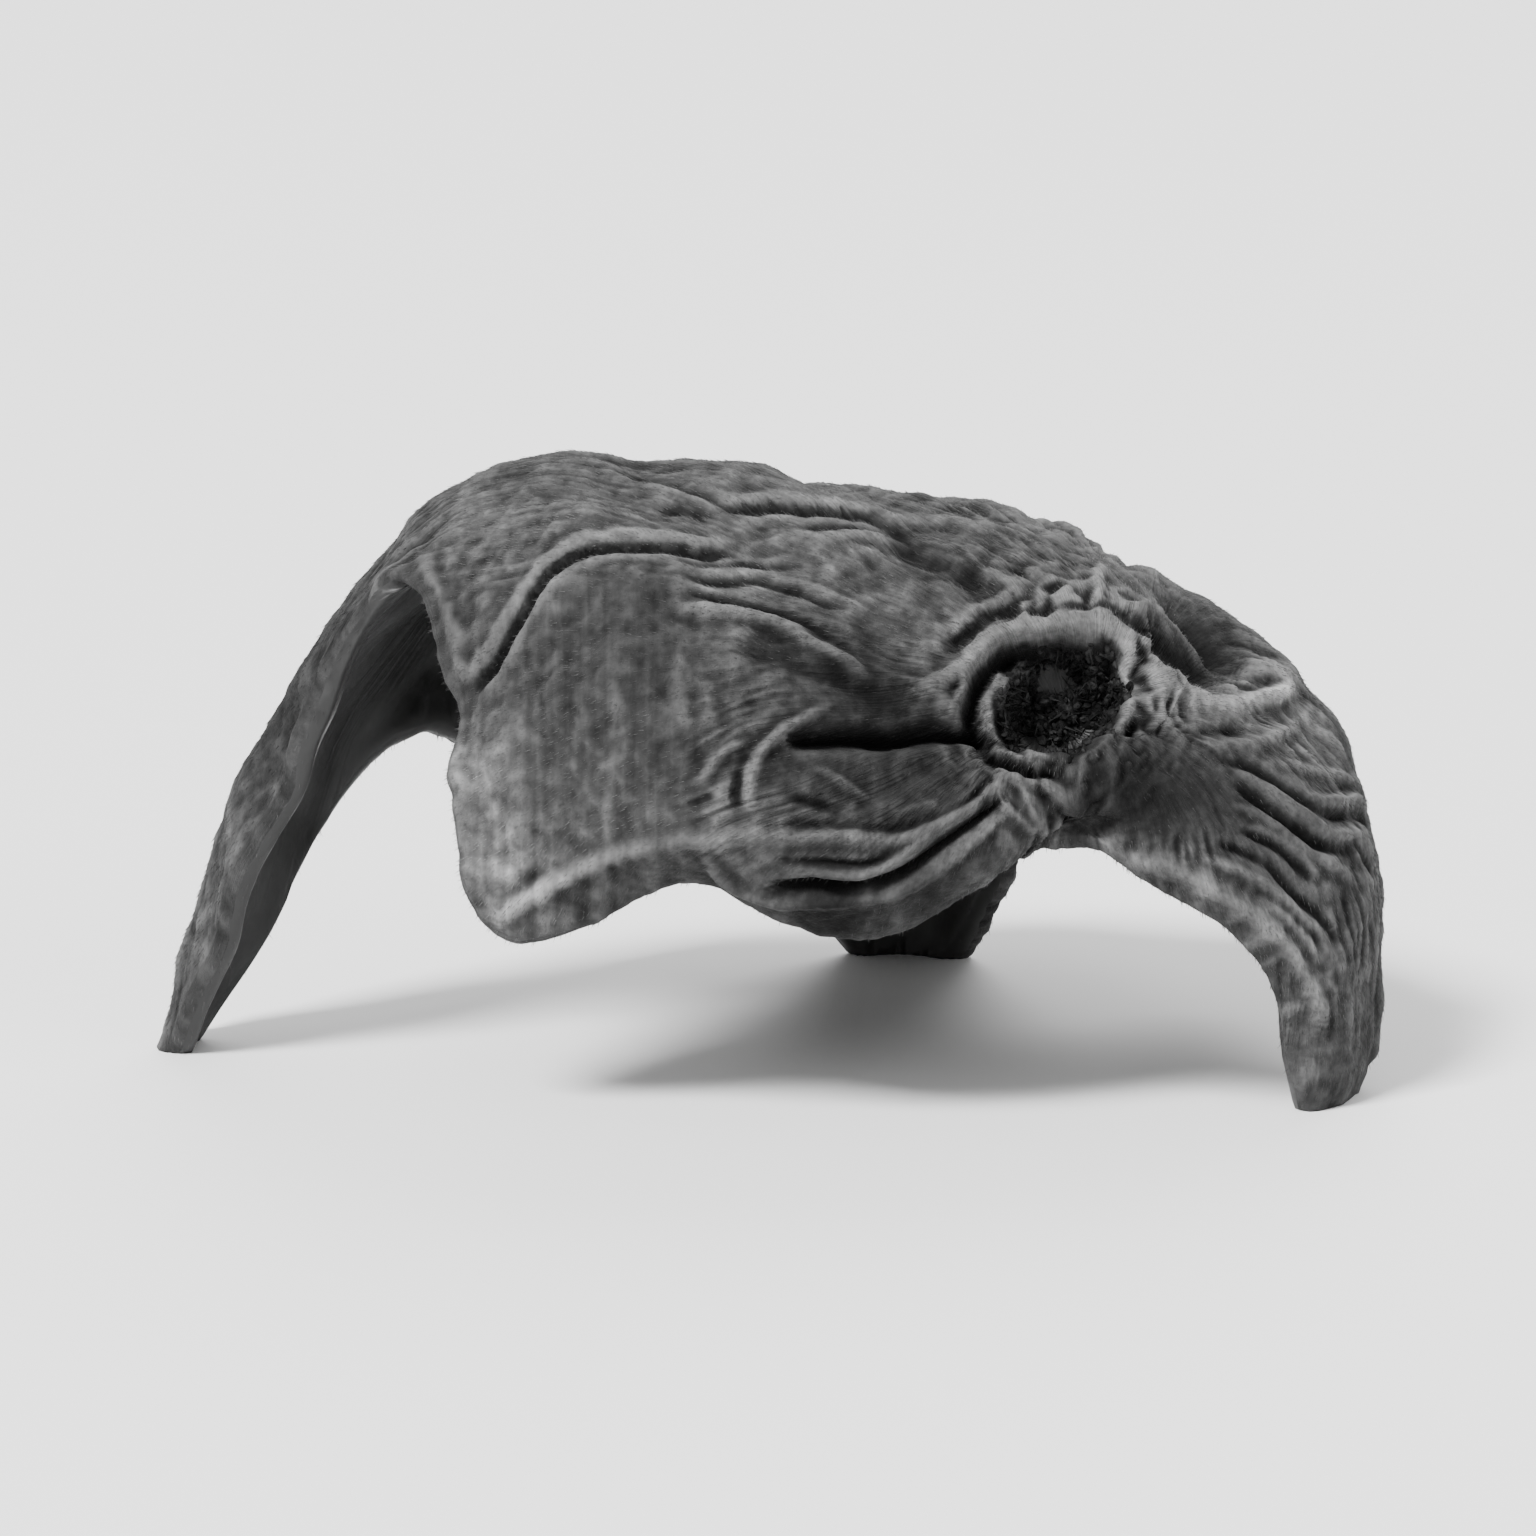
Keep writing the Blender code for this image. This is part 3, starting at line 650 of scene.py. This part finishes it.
edge_middle = (outer_skin[-1] + inner_skin[-1]) / 2.0
edge_side = (outer_skin[-1] - inner_skin[-1]) / 2.0
edge_reach = RIM_BULGE * np.linalg.norm(edge_side, axis=1, keepdims=True)
edge_angles = np.linspace(0.0, np.pi, RIM_STEPS + 2)[1:-1]
edge_rings = [edge_middle + edge_side * math.cos(a) + outward * edge_reach * math.sin(a) for a in edge_angles]

rings = [*outer_skin, *edge_rings, *inner_skin[::-1]]
poles = [outer_skin[0].mean(axis=0), inner_skin[0].mean(axis=0)]
points = np.array([*np.concatenate(rings), *poles])
points[:, 2] = np.maximum(points[:, 2], 0.0)
points[:, :2] -= (points.max(axis=0) + points.min(axis=0))[:2] / 2.0
points *= MM
cad_low, cad_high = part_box("wood_ear")
points[:, 0] += (cad_low.x + cad_high.x) / 2.0
points[:, 1] += (cad_low.y + cad_high.y) / 2.0

first = np.arange(COLUMNS)
beside = (first + 1) % COLUMNS
bands = []
for ring in range(len(rings) - 1):
    here, there = ring * COLUMNS, (ring + 1) * COLUMNS
    bands.append(np.stack((here + first, here + beside, there + beside, there + first), axis=1))
quads = np.concatenate(bands)
outer_pole = len(rings) * COLUMNS
last = (len(rings) - 1) * COLUMNS
outer_fan = np.stack((np.full(COLUMNS, outer_pole), beside, first), axis=1)
inner_fan = np.stack((np.full(COLUMNS, outer_pole + 1), last + first, last + beside), axis=1)

ear_mesh = bpy.data.meshes.new("ear_skin")
ear_mesh.from_pydata(points.tolist(), [], [*quads.tolist(), *outer_fan.tolist(), *inner_fan.tolist()])
smooth_faces = np.zeros(len(ear_mesh.polygons), dtype=np.int32)
outer_bands = (OUTER_ROWS - 1 + RIM_STEPS // 2 + 1) * COLUMNS
smooth_faces[outer_bands : len(quads)] = 1
smooth_faces[len(quads) + COLUMNS :] = 1
ear_mesh.polygons.foreach_set("material_index", smooth_faces)


def carry(name, outer, inner=None):
    """Stores a number or a vector for each point, from its field on the downy and on the smooth side."""
    size = 1 if outer.ndim == 2 else 3
    outer = outer.reshape(-1, COLUMNS, size)
    inner = np.zeros((INNER_ROWS, COLUMNS, size)) if inner is None else inner.reshape(-1, COLUMNS, size)
    shares = np.linspace(0.0, 1.0, RIM_STEPS + 2)[1:-1, None, None]
    edge = outer[-1] * (1.0 - shares) + inner[-1] * shares
    middles = np.stack((outer[0].mean(axis=0), inner[0].mean(axis=0)))
    values = np.concatenate([a.reshape(-1, size) for a in (outer, edge, inner[::-1], middles)])
    layer = ear_mesh.attributes.new(name, "FLOAT" if size == 1 else "FLOAT_VECTOR", "POINT")
    layer.data.foreach_set("value" if size == 1 else "vector", values.astype(np.float32).ravel())


def around_mean(heights, reach):
    """Each height's mean with its neighbours, up to reach steps away along and round the ear."""
    steps = range(-reach, reach + 1)
    padded = np.pad(heights, ((reach, reach), (0, 0)), mode="edge")
    along = sum(padded[reach + s : reach + s + len(heights)] for s in steps) / len(steps)
    return sum(np.roll(along, s, axis=1) for s in steps) / len(steps)


def all_round(by_row):
    """Gives each row's number to the whole ring."""
    return by_row[:, None] * np.ones(COLUMNS)


def grain_of(sheet):
    """A place that grows evenly round the ear and out from the stub, so that fibres widen as they run out."""
    return drum(turns, 1.0, np.log(np.maximum(lengths_out(sheet), GRAIN_START))) * GRAIN_SCALE


# Lightness by relief: painted shade in the creases and painted highlights on the crests and folds
crests = outer_relief - around_mean(outer_relief, reach=4)
shaded_relief = np.clip(0.5 + outer_relief / RELIEF_RANGE + crests / CREST_RANGE, 0.0, 1.0)
# Where shade is painted into the pit, and no hairs grow
pit = smooth_step(*DARKENED, uneven_distance)
outer_edge = all_round(smooth_step(*EDGE_OUTSIDE, outer_rows))
inner_edge = all_round(smooth_step(*EDGE_INSIDE, inner_rows))
# Hairs grow thinner where shade is painted: in dark patches, in the pit and in the creases
downy = smooth_step(*FEET, outer_skin[..., 2]) * away_from_stub
downy = downy * np.minimum(shaded_down, MOST_HAIRS) * (1.0 - pit) * np.minimum(2.0 * shaded_relief, 1.0)
carry("shaded_relief", shaded_relief, all_round(np.full(INNER_ROWS, 0.5)))
carry("edge", outer_edge, inner_edge)
carry("pit", pit)
carry("panel", panel)
# The down's thickness, with the painted shade and painted highlights of the patches over it
carry("shaded_down", shaded_down, all_round(np.ones(INNER_ROWS)))
carry("downy", downy)
carry("torn", smooth_step(*TORN, uneven_distance))
carry("growth", growth, np.gradient(inner_sheet, axis=0))
carry("upright", np.stack((front_x, np.zeros(front_x.shape), front_height), axis=-1))
carry("grain", grain_of(outer_sheet), grain_of(inner_sheet))


def wire(tree, kind, inputs=(), **settings):
    """Adds a node and gives its outputs. An input given as a socket is linked, and any other is set."""
    node = tree.nodes.new(kind)
    for name, setting in settings.items():
        setattr(node, name, setting)
    for key, given in dict(inputs).items():
        if isinstance(given, bpy.types.NodeSocket):
            tree.links.new(given, node.inputs[key])
        else:
            node.inputs[key].default_value = given
    return node.outputs


def calc(tree, operation, first, second):
    return wire(tree, "ShaderNodeMath", {0: first, 1: second}, operation=operation)[0]


def vector_calc(tree, operation, first, second):
    inputs = {0: first, "Scale" if operation == "SCALE" else 1: second}
    return wire(tree, "ShaderNodeVectorMath", inputs, operation=operation)["Vector"]


def between(tree, low, high, share):
    """A value from low to high, by a share from 0 to 1."""
    return wire(tree, "ShaderNodeMapRange", {"Value": share, "To Min": low, "To Max": high})["Result"]


def cloudy(tree, place, scale, detail, roughness=0.5):
    """Soft noise, which keeps near 0.5."""
    inputs = {"Vector": place, "Scale": scale, "Detail": detail, "Roughness": roughness}
    return wire(tree, "ShaderNodeTexNoise", inputs)["Fac"]


def stretched(tree, value, low, high):
    """A share from 0 to 1, as the value goes from low to high."""
    return wire(tree, "ShaderNodeMapRange", {"Value": value, "From Min": low, "From Max": high})["Result"]


def new_group(name, kind, inputs, output):
    """Starts a node group: its tree, what it is given, and the socket that takes its result."""
    tree = bpy.data.node_groups.new(name, kind)
    for label, socket_type, default in inputs:
        socket = tree.interface.new_socket(label, in_out="INPUT", socket_type=socket_type)
        if default is not None:
            socket.default_value = default
    label, socket_type = output
    tree.interface.new_socket(label, in_out="OUTPUT", socket_type=socket_type)
    return tree, tree.nodes.new("NodeGroupInput").outputs, tree.nodes.new("NodeGroupOutput").inputs[label]


# Mottling: soft blotches with finer specks in them, from 0 to 1.
sizes = [
    ("Place", "NodeSocketVector", None),
    ("Blotch", "NodeSocketFloat", 1.5),
    ("Speck", "NodeSocketFloat", 0.2),
]
mottling, given, result = new_group("mottling", "ShaderNodeTree", sizes, ("Mottle", "NodeSocketFloat"))
per_blotch = calc(mottling, "DIVIDE", 1.0 / MM, given["Blotch"])
per_speck = calc(mottling, "DIVIDE", 1.0 / MM, given["Speck"])
blotches = cloudy(mottling, given["Place"], per_blotch, detail=3.0)
specks = cloudy(mottling, given["Place"], per_speck, detail=2.0)
mixed = calc(mottling, "MULTIPLY", calc(mottling, "ADD", blotches, specks), 0.5)
mottling.links.new(stretched(mottling, mixed, 0.36, 0.64), result)

# Fibres: fine lines that lie along or across the way the ear grew, from 0 to 1.
sizes = [
    ("Grain", "NodeSocketVector", None),
    ("Across", "NodeSocketFloat", 0.2),
    ("Along", "NodeSocketFloat", 3.0),
]
fibres, given, result = new_group("fibres", "ShaderNodeTree", sizes, ("Fibre", "NodeSocketFloat"))
per_across = calc(fibres, "DIVIDE", 1.0, given["Across"])
per_along = calc(fibres, "DIVIDE", 1.0, given["Along"])
per_size = wire(fibres, "ShaderNodeCombineXYZ", {"X": per_across, "Y": per_across, "Z": per_along})["Vector"]
drawn_out = vector_calc(fibres, "MULTIPLY", given["Grain"], per_size)
fibres.links.new(stretched(fibres, cloudy(fibres, drawn_out, 1.0, detail=2.0), 0.3, 0.7), result)


def new_finish(name):
    """Starts a material: its tree, its shader's inputs, and its place in space."""
    finish = bpy.data.materials.new(name)
    finish.use_nodes = True
    tree = finish.node_tree
    return finish, tree, tree.nodes["Principled BSDF"].inputs, wire(tree, "ShaderNodeTexCoord")["Object"]


def use_group(tree, group, **inputs):
    return wire(tree, "ShaderNodeGroup", inputs, node_tree=group)[0]


def field(tree, name, output="Fac"):
    """What the skin carries under this name."""
    return wire(tree, "ShaderNodeAttribute", attribute_name=name)[output]


def bump(tree, height, strength, depth):
    inputs = {"Height": height, "Strength": strength, "Distance": depth}
    return wire(tree, "ShaderNodeBump", inputs)["Normal"]


# Downy side: grey down over nearly black skin, with painted highlights on the crests and painted shade in the
# creases, and the painted light and shade of the down patches. Fine fibres lie along the growth, and upright
# on the front panel.
DOWN_GREY = 0.072
RIM_GREY = 0.004
# Painted shade in the pit, together with the torn flesh's own dark colour
PAINTED_PIT_SHADE = 0.02  # how dark the pit is beside the skin
# Painted shade in the creases up to painted highlights on the crests
CREST_LIGHT_AND_CREASE_SHADE = [(0.0, 0.04), (0.3, 0.2), (0.5, 0.42), (0.68, 0.75), (1.0, 1.25)]  # relief, and how light it is

downy_side, tree, shader, place = new_finish("downy_side")
mottle = use_group(tree, mottling, Place=place, Blotch=1.5, Speck=0.17)
on_panel = field(tree, "panel")
grown_fibres = use_group(tree, fibres, Grain=field(tree, "grain", "Vector"), Across=0.16, Along=2.4)
upright_fibres = use_group(tree, fibres, Grain=field(tree, "upright", "Vector"), Across=0.26, Along=4.0)
fibre = wire(tree, "ShaderNodeMix", {"Factor": on_panel, 2: grown_fibres, 3: upright_fibres})[0]
relief_shading = wire(tree, "ShaderNodeValToRGB", {"Fac": field(tree, "shaded_relief")})["Color"]
ramp = tree.nodes[-1].color_ramp.elements
for position, lightness in CREST_LIGHT_AND_CREASE_SHADE[1:-1]:
    ramp.new(position)
for stop, (position, lightness) in zip(ramp, CREST_LIGHT_AND_CREASE_SHADE):
    stop.position = position
    stop.color = (lightness, lightness, lightness, 1.0)
mottle_share = between(tree, between(tree, 0.7, 0.86, on_panel), between(tree, 1.3, 1.14, on_panel), mottle)
fibre_share = between(tree, between(tree, 0.8, 0.68, on_panel), between(tree, 1.2, 1.36, on_panel), fibre)
# The down's thickness, with the painted shade and painted highlights of the patches
grey = calc(tree, "MULTIPLY", field(tree, "shaded_down"), mottle_share)
for share in (fibre_share, relief_shading, DOWN_GREY, between(tree, 1.0, PAINTED_PIT_SHADE, field(tree, "pit"))):
    grey = calc(tree, "MULTIPLY", grey, share)
grey = calc(tree, "ADD", grey, calc(tree, "MULTIPLY", field(tree, "edge"), RIM_GREY))
tree.links.new(grey, shader["Base Color"])
tree.links.new(between(tree, 0.95, 0.7, mottle), shader["Roughness"])
felt = cloudy(tree, place, 7.0 / MM, detail=4.0, roughness=0.7)
nap = calc(tree, "ADD", calc(tree, "MULTIPLY", fibre, 0.6), felt)
tree.links.new(bump(tree, nap, 0.8, 0.06 * MM), shader["Normal"])
shader["Specular IOR Level"].default_value = 0.12
shader["Sheen Weight"].default_value = 0.03
shader["Sheen Roughness"].default_value = 0.5

# Smooth side: nearly black skin with a dull gloss and faint veins, greyer at the rim, where the down ends.
# Its near black is the skin's own dark and painted shade as well, which keeps the hollow under the arch dark.
smooth_side, tree, shader, place = new_finish("smooth_side")
mottle = use_group(tree, mottling, Place=place, Blotch=2.6, Speck=0.5)
veins = use_group(tree, fibres, Grain=field(tree, "grain", "Vector"), Across=0.5, Along=5.0)
grey = calc(tree, "MULTIPLY", between(tree, 0.005, 0.011, mottle), between(tree, 0.8, 1.2, veins))
grey = calc(tree, "ADD", grey, calc(tree, "MULTIPLY", field(tree, "edge"), 0.01))
tree.links.new(grey, shader["Base Color"])
tree.links.new(between(tree, 0.38, 0.6, mottle), shader["Roughness"])
tree.links.new(bump(tree, veins, 0.35, 0.08 * MM), shader["Normal"])
shader["Specular IOR Level"].default_value = 0.35

ear = bpy.data.objects.new("ear_skin", ear_mesh)
bpy.context.scene.collection.objects.link(ear)
ear_mesh.materials.append(downy_side)
ear_mesh.materials.append(smooth_side)
thin = ear.modifiers.new("thin", "DECIMATE")
thin.ratio = FINISHED_FACES / (2.0 * len(quads) + 2.0 * COLUMNS)
finished_skin = bpy.data.meshes.new_from_object(ear.evaluated_get(bpy.context.evaluated_depsgraph_get()))
ear.modifiers.clear()
ear.data = finished_skin
finished_skin.shade_smooth()

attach(ear, "root")
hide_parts("wood_ear")


# The down. Short pale hairs, which stand all over the outer side and were pressed flat, pointing away from
# the stub, as the skin dried. Each is a thin three-sided spike on the skin.

settings = [
    ("Skin", "NodeSocketGeometry", None),
    ("Where", "NodeSocketString", "downy"),
    ("Count per Area", "NodeSocketFloat", 72e6),  # to the square metre
    ("Length", "NodeSocketFloat", 0.12 * MM),
    ("Radius", "NodeSocketFloat", 0.007 * MM),
    ("Lean", "NodeSocketFloat", 3.2),
    ("Stray", "NodeSocketFloat", 0.6),
    ("Seed", "NodeSocketInt", 5),
    ("Finish", "NodeSocketMaterial", None),
]
spikes, given, result = new_group("spikes", "GeometryNodeTree", settings, ("Spikes", "NodeSocketGeometry"))


def read_field(tree, name, kind="FLOAT"):
    return wire(tree, "GeometryNodeInputNamedAttribute", {"Name": name}, data_type=kind)["Attribute"]


def random_number(tree, low, high, seed):
    return wire(tree, "FunctionNodeRandomValue", {2: low, 3: high, "Seed": seed}, data_type="FLOAT")[1]


def random_vector(tree, low, high, seed):
    inputs = {0: (low,) * 3, 1: (high,) * 3, "Seed": seed}
    return wire(tree, "FunctionNodeRandomValue", inputs, data_type="FLOAT_VECTOR")[0]


def scatter(tree, where, per_area, seed, skin):
    """Points on the skin, as many as a field asks, with the skin's normal at each."""
    density = calc(tree, "MULTIPLY", read_field(tree, where), per_area)
    inputs = {"Mesh": skin, "Density": density, "Seed": seed}
    return wire(tree, "GeometryNodeDistributePointsOnFaces", inputs)


def end_tree(tree, instances, seed, finish, result):
    """Gives each instance a shade of its own, makes them real, and gives them their finish."""
    shade = random_number(tree, 0.0, 1.0, calc(tree, "ADD", seed, 1.0))
    inputs = {"Geometry": instances, "Name": "shade", "Value": shade}
    shaded = wire(tree, "GeometryNodeStoreNamedAttribute", inputs, data_type="FLOAT", domain="INSTANCE")
    real = wire(tree, "GeometryNodeRealizeInstances", {"Geometry": shaded["Geometry"]})["Geometry"]
    finished = wire(tree, "GeometryNodeSetMaterial", {"Geometry": real, "Material": finish})["Geometry"]
    tree.links.new(finished, result)


roots = scatter(spikes, given["Where"], given["Count per Area"], given["Seed"], given["Skin"])
lean = vector_calc(spikes, "SCALE", read_field(spikes, "growth", "FLOAT_VECTOR"), given["Lean"])
stray = vector_calc(spikes, "SCALE", random_vector(spikes, -1.0, 1.0, given["Seed"]), given["Stray"])
heading = vector_calc(spikes, "ADD", vector_calc(spikes, "ADD", roots["Normal"], lean), stray)
shape = {"Vertices": 3, "Radius Bottom": given["Radius"], "Depth": given["Length"]}
grown = {
    "Points": roots["Points"],
    "Instance": wire(spikes, "GeometryNodeMeshCone", shape)["Mesh"],
    "Rotation": wire(spikes, "FunctionNodeAlignRotationToVector", {"Vector": heading}, axis="Z")["Rotation"],
    "Scale": random_number(spikes, 0.5, 1.3, given["Seed"]),
}
stood = wire(spikes, "GeometryNodeInstanceOnPoints", grown)["Instances"]
end_tree(spikes, stood, given["Seed"], given["Finish"], result)

pale_down, tree, shader, place = new_finish("pale_down")
mottle = use_group(tree, mottling, Place=place, Blotch=1.4, Speck=0.28)
grey = between(tree, 0.015, 0.055, field(tree, "shade"))
# The hairs take the painted shade and painted highlights of the down patches too
for share in (between(tree, 0.6, 1.4, mottle), field(tree, "shaded_down")):
    grey = calc(tree, "MULTIPLY", grey, share)
tree.links.new(grey, shader["Base Color"])
shader["Roughness"].default_value = 0.6
shader["Specular IOR Level"].default_value = 0.3
shader["Sheen Weight"].default_value = 0.1


def grow(name, tree, inputs):
    """Runs a node tree over a copy of the finished skin, and keeps what it makes as a plain mesh."""
    piece = bpy.data.objects.new(name, finished_skin.copy())
    bpy.context.scene.collection.objects.link(piece)
    growing = piece.modifiers.new(name, "NODES")
    growing.node_group = tree
    for item in tree.interface.items_tree:
        if item.in_out == "INPUT" and item.name in inputs:
            growing[item.identifier] = inputs[item.name]
    made = bpy.data.meshes.new_from_object(piece.evaluated_get(bpy.context.evaluated_depsgraph_get()))
    piece.modifiers.clear()
    piece.data = made
    return piece


hairs = grow("shaded_down", spikes, {"Finish": pale_down})
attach(hairs, "root")


# What is left in the stub. Torn ends of its flesh stand up round the pit, and crumbs of flesh and bark lie in
# it, stuck fast where the ear was pulled off the wood.

torn_flesh, tree, shader, place = new_finish("torn_flesh")
mottle = use_group(tree, mottling, Place=place, Blotch=0.5, Speck=0.12)
# Nearly black: the torn flesh's own dark, and painted shade of the pit that it lies in
grey = between(tree, 0.001, 0.016, field(tree, "shade"))
grey = calc(tree, "MULTIPLY", grey, between(tree, 0.5, 1.5, mottle))
tree.links.new(grey, shader["Base Color"])
tree.links.new(between(tree, 0.9, 0.6, mottle), shader["Roughness"])
tree.links.new(bump(tree, mottle, 0.5, 0.05 * MM), shader["Normal"])
shader["Specular IOR Level"].default_value = 0.12

torn_ends = {
    "Where": "torn",
    "Count per Area": 25e6,
    "Length": 0.34 * MM,
    "Radius": 0.032 * MM,
    "Lean": 0.0,
    "Stray": 0.9,
    "Seed": 11,
    "Finish": torn_flesh,
}
frayed = grow("torn_fibres", spikes, torn_ends)
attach(frayed, "root")

settings = [
    ("Skin", "NodeSocketGeometry", None),
    ("Count per Area", "NodeSocketFloat", 40e6),
    ("Size", "NodeSocketFloat", 0.1 * MM),
    ("Dents", "NodeSocketFloat", 1.4),
    ("Seed", "NodeSocketInt", 17),
    ("Finish", "NodeSocketMaterial", None),
]
crumbs, given, result = new_group("crumbs", "GeometryNodeTree", settings, ("Crumbs", "NodeSocketGeometry"))
beds = scatter(crumbs, "torn", given["Count per Area"], given["Seed"], given["Skin"])
lump = wire(crumbs, "GeometryNodeMeshIcoSphere", {"Radius": given["Size"], "Subdivisions": 2})["Mesh"]
dents = wire(crumbs, "ShaderNodeTexNoise", {"Scale": 9.0 / MM, "Detail": 1.0})["Color"]
dents = vector_calc(crumbs, "SUBTRACT", dents, (0.5, 0.5, 0.5))
dents = vector_calc(crumbs, "SCALE", vector_calc(crumbs, "SCALE", dents, given["Dents"]), given["Size"])
laid = {
    "Points": beds["Points"],
    "Instance": wire(crumbs, "GeometryNodeSetPosition", {"Geometry": lump, "Offset": dents})["Geometry"],
    "Rotation": random_vector(crumbs, -3.0, 3.0, given["Seed"]),
    "Scale": random_vector(crumbs, 0.4, 1.4, given["Seed"]),
}
lying = wire(crumbs, "GeometryNodeInstanceOnPoints", laid)["Instances"]
end_tree(crumbs, lying, given["Seed"], given["Finish"], result)

grit = grow("stub_crumbs", crumbs, {"Finish": torn_flesh})
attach(grit, "root")


# The floor and the light. A plain pale surface, one broad soft light above the left of the camera, a weaker
# one on the right, one behind that lights the back, and an even pale surround.

FLOOR_SIZE = 3.0
FLOOR_GREY = 0.85
SURROUND_STRENGTH = 0.6
MIDDLE = Vector((0.0, 0.0, 0.0062))  # of the ear, where the lights and the camera point

bpy.ops.mesh.primitive_plane_add(size=FLOOR_SIZE, location=(0.0, 0.0, 0.0))
floor = bpy.context.object
floor.name = "floor"
floor_paint, _, shader, _ = new_finish("floor_paint")
shader["Base Color"].default_value = (FLOOR_GREY, FLOOR_GREY, FLOOR_GREY, 1.0)
shader["Roughness"].default_value = 0.7
floor.data.materials.append(floor_paint)

surround = bpy.data.worlds.new("surround")
surround.use_nodes = True
background = surround.node_tree.nodes["Background"].inputs
background["Color"].default_value = (1.0, 1.0, 1.0, 1.0)
background["Strength"].default_value = SURROUND_STRENGTH
bpy.context.scene.world = surround


def soft_light(name, place, size, energy):
    lamp = bpy.data.lights.new(name, "AREA")
    lamp.size = size
    lamp.energy = energy
    holder = bpy.data.objects.new(name, lamp)
    holder.location = place
    holder.rotation_euler = (MIDDLE - Vector(place)).to_track_quat("-Z", "Y").to_euler()
    bpy.context.scene.collection.objects.link(holder)


soft_light("key_light", place=(-0.35, -0.45, 0.70), size=0.25, energy=20.0)
soft_light("fill_light", place=(0.60, -0.50, 0.40), size=0.6, energy=3.0)
soft_light("back_light", place=(0.15, 0.75, 0.45), size=0.7, energy=7.5)

# The camera looks along +Y, down at the angle that the photograph was taken from, and close enough that the
# ear fills most of the frame.
CAMERA_DISTANCE = 0.5
FRAME_WIDTH = 0.034

camera_data = bpy.data.cameras.new("camera")
camera_data.sensor_width = 36.0
camera_data.lens = camera_data.sensor_width * CAMERA_DISTANCE / FRAME_WIDTH
camera_data.clip_start = 0.01
camera = bpy.data.objects.new("camera", camera_data)
camera.location = MIDDLE + CAMERA_DISTANCE * Vector((0.0, -math.cos(SEEN_FROM), math.sin(SEEN_FROM)))
camera.rotation_euler = (MIDDLE - camera.location).to_track_quat("-Z", "Y").to_euler()
bpy.context.scene.collection.objects.link(camera)
bpy.context.scene.camera = camera
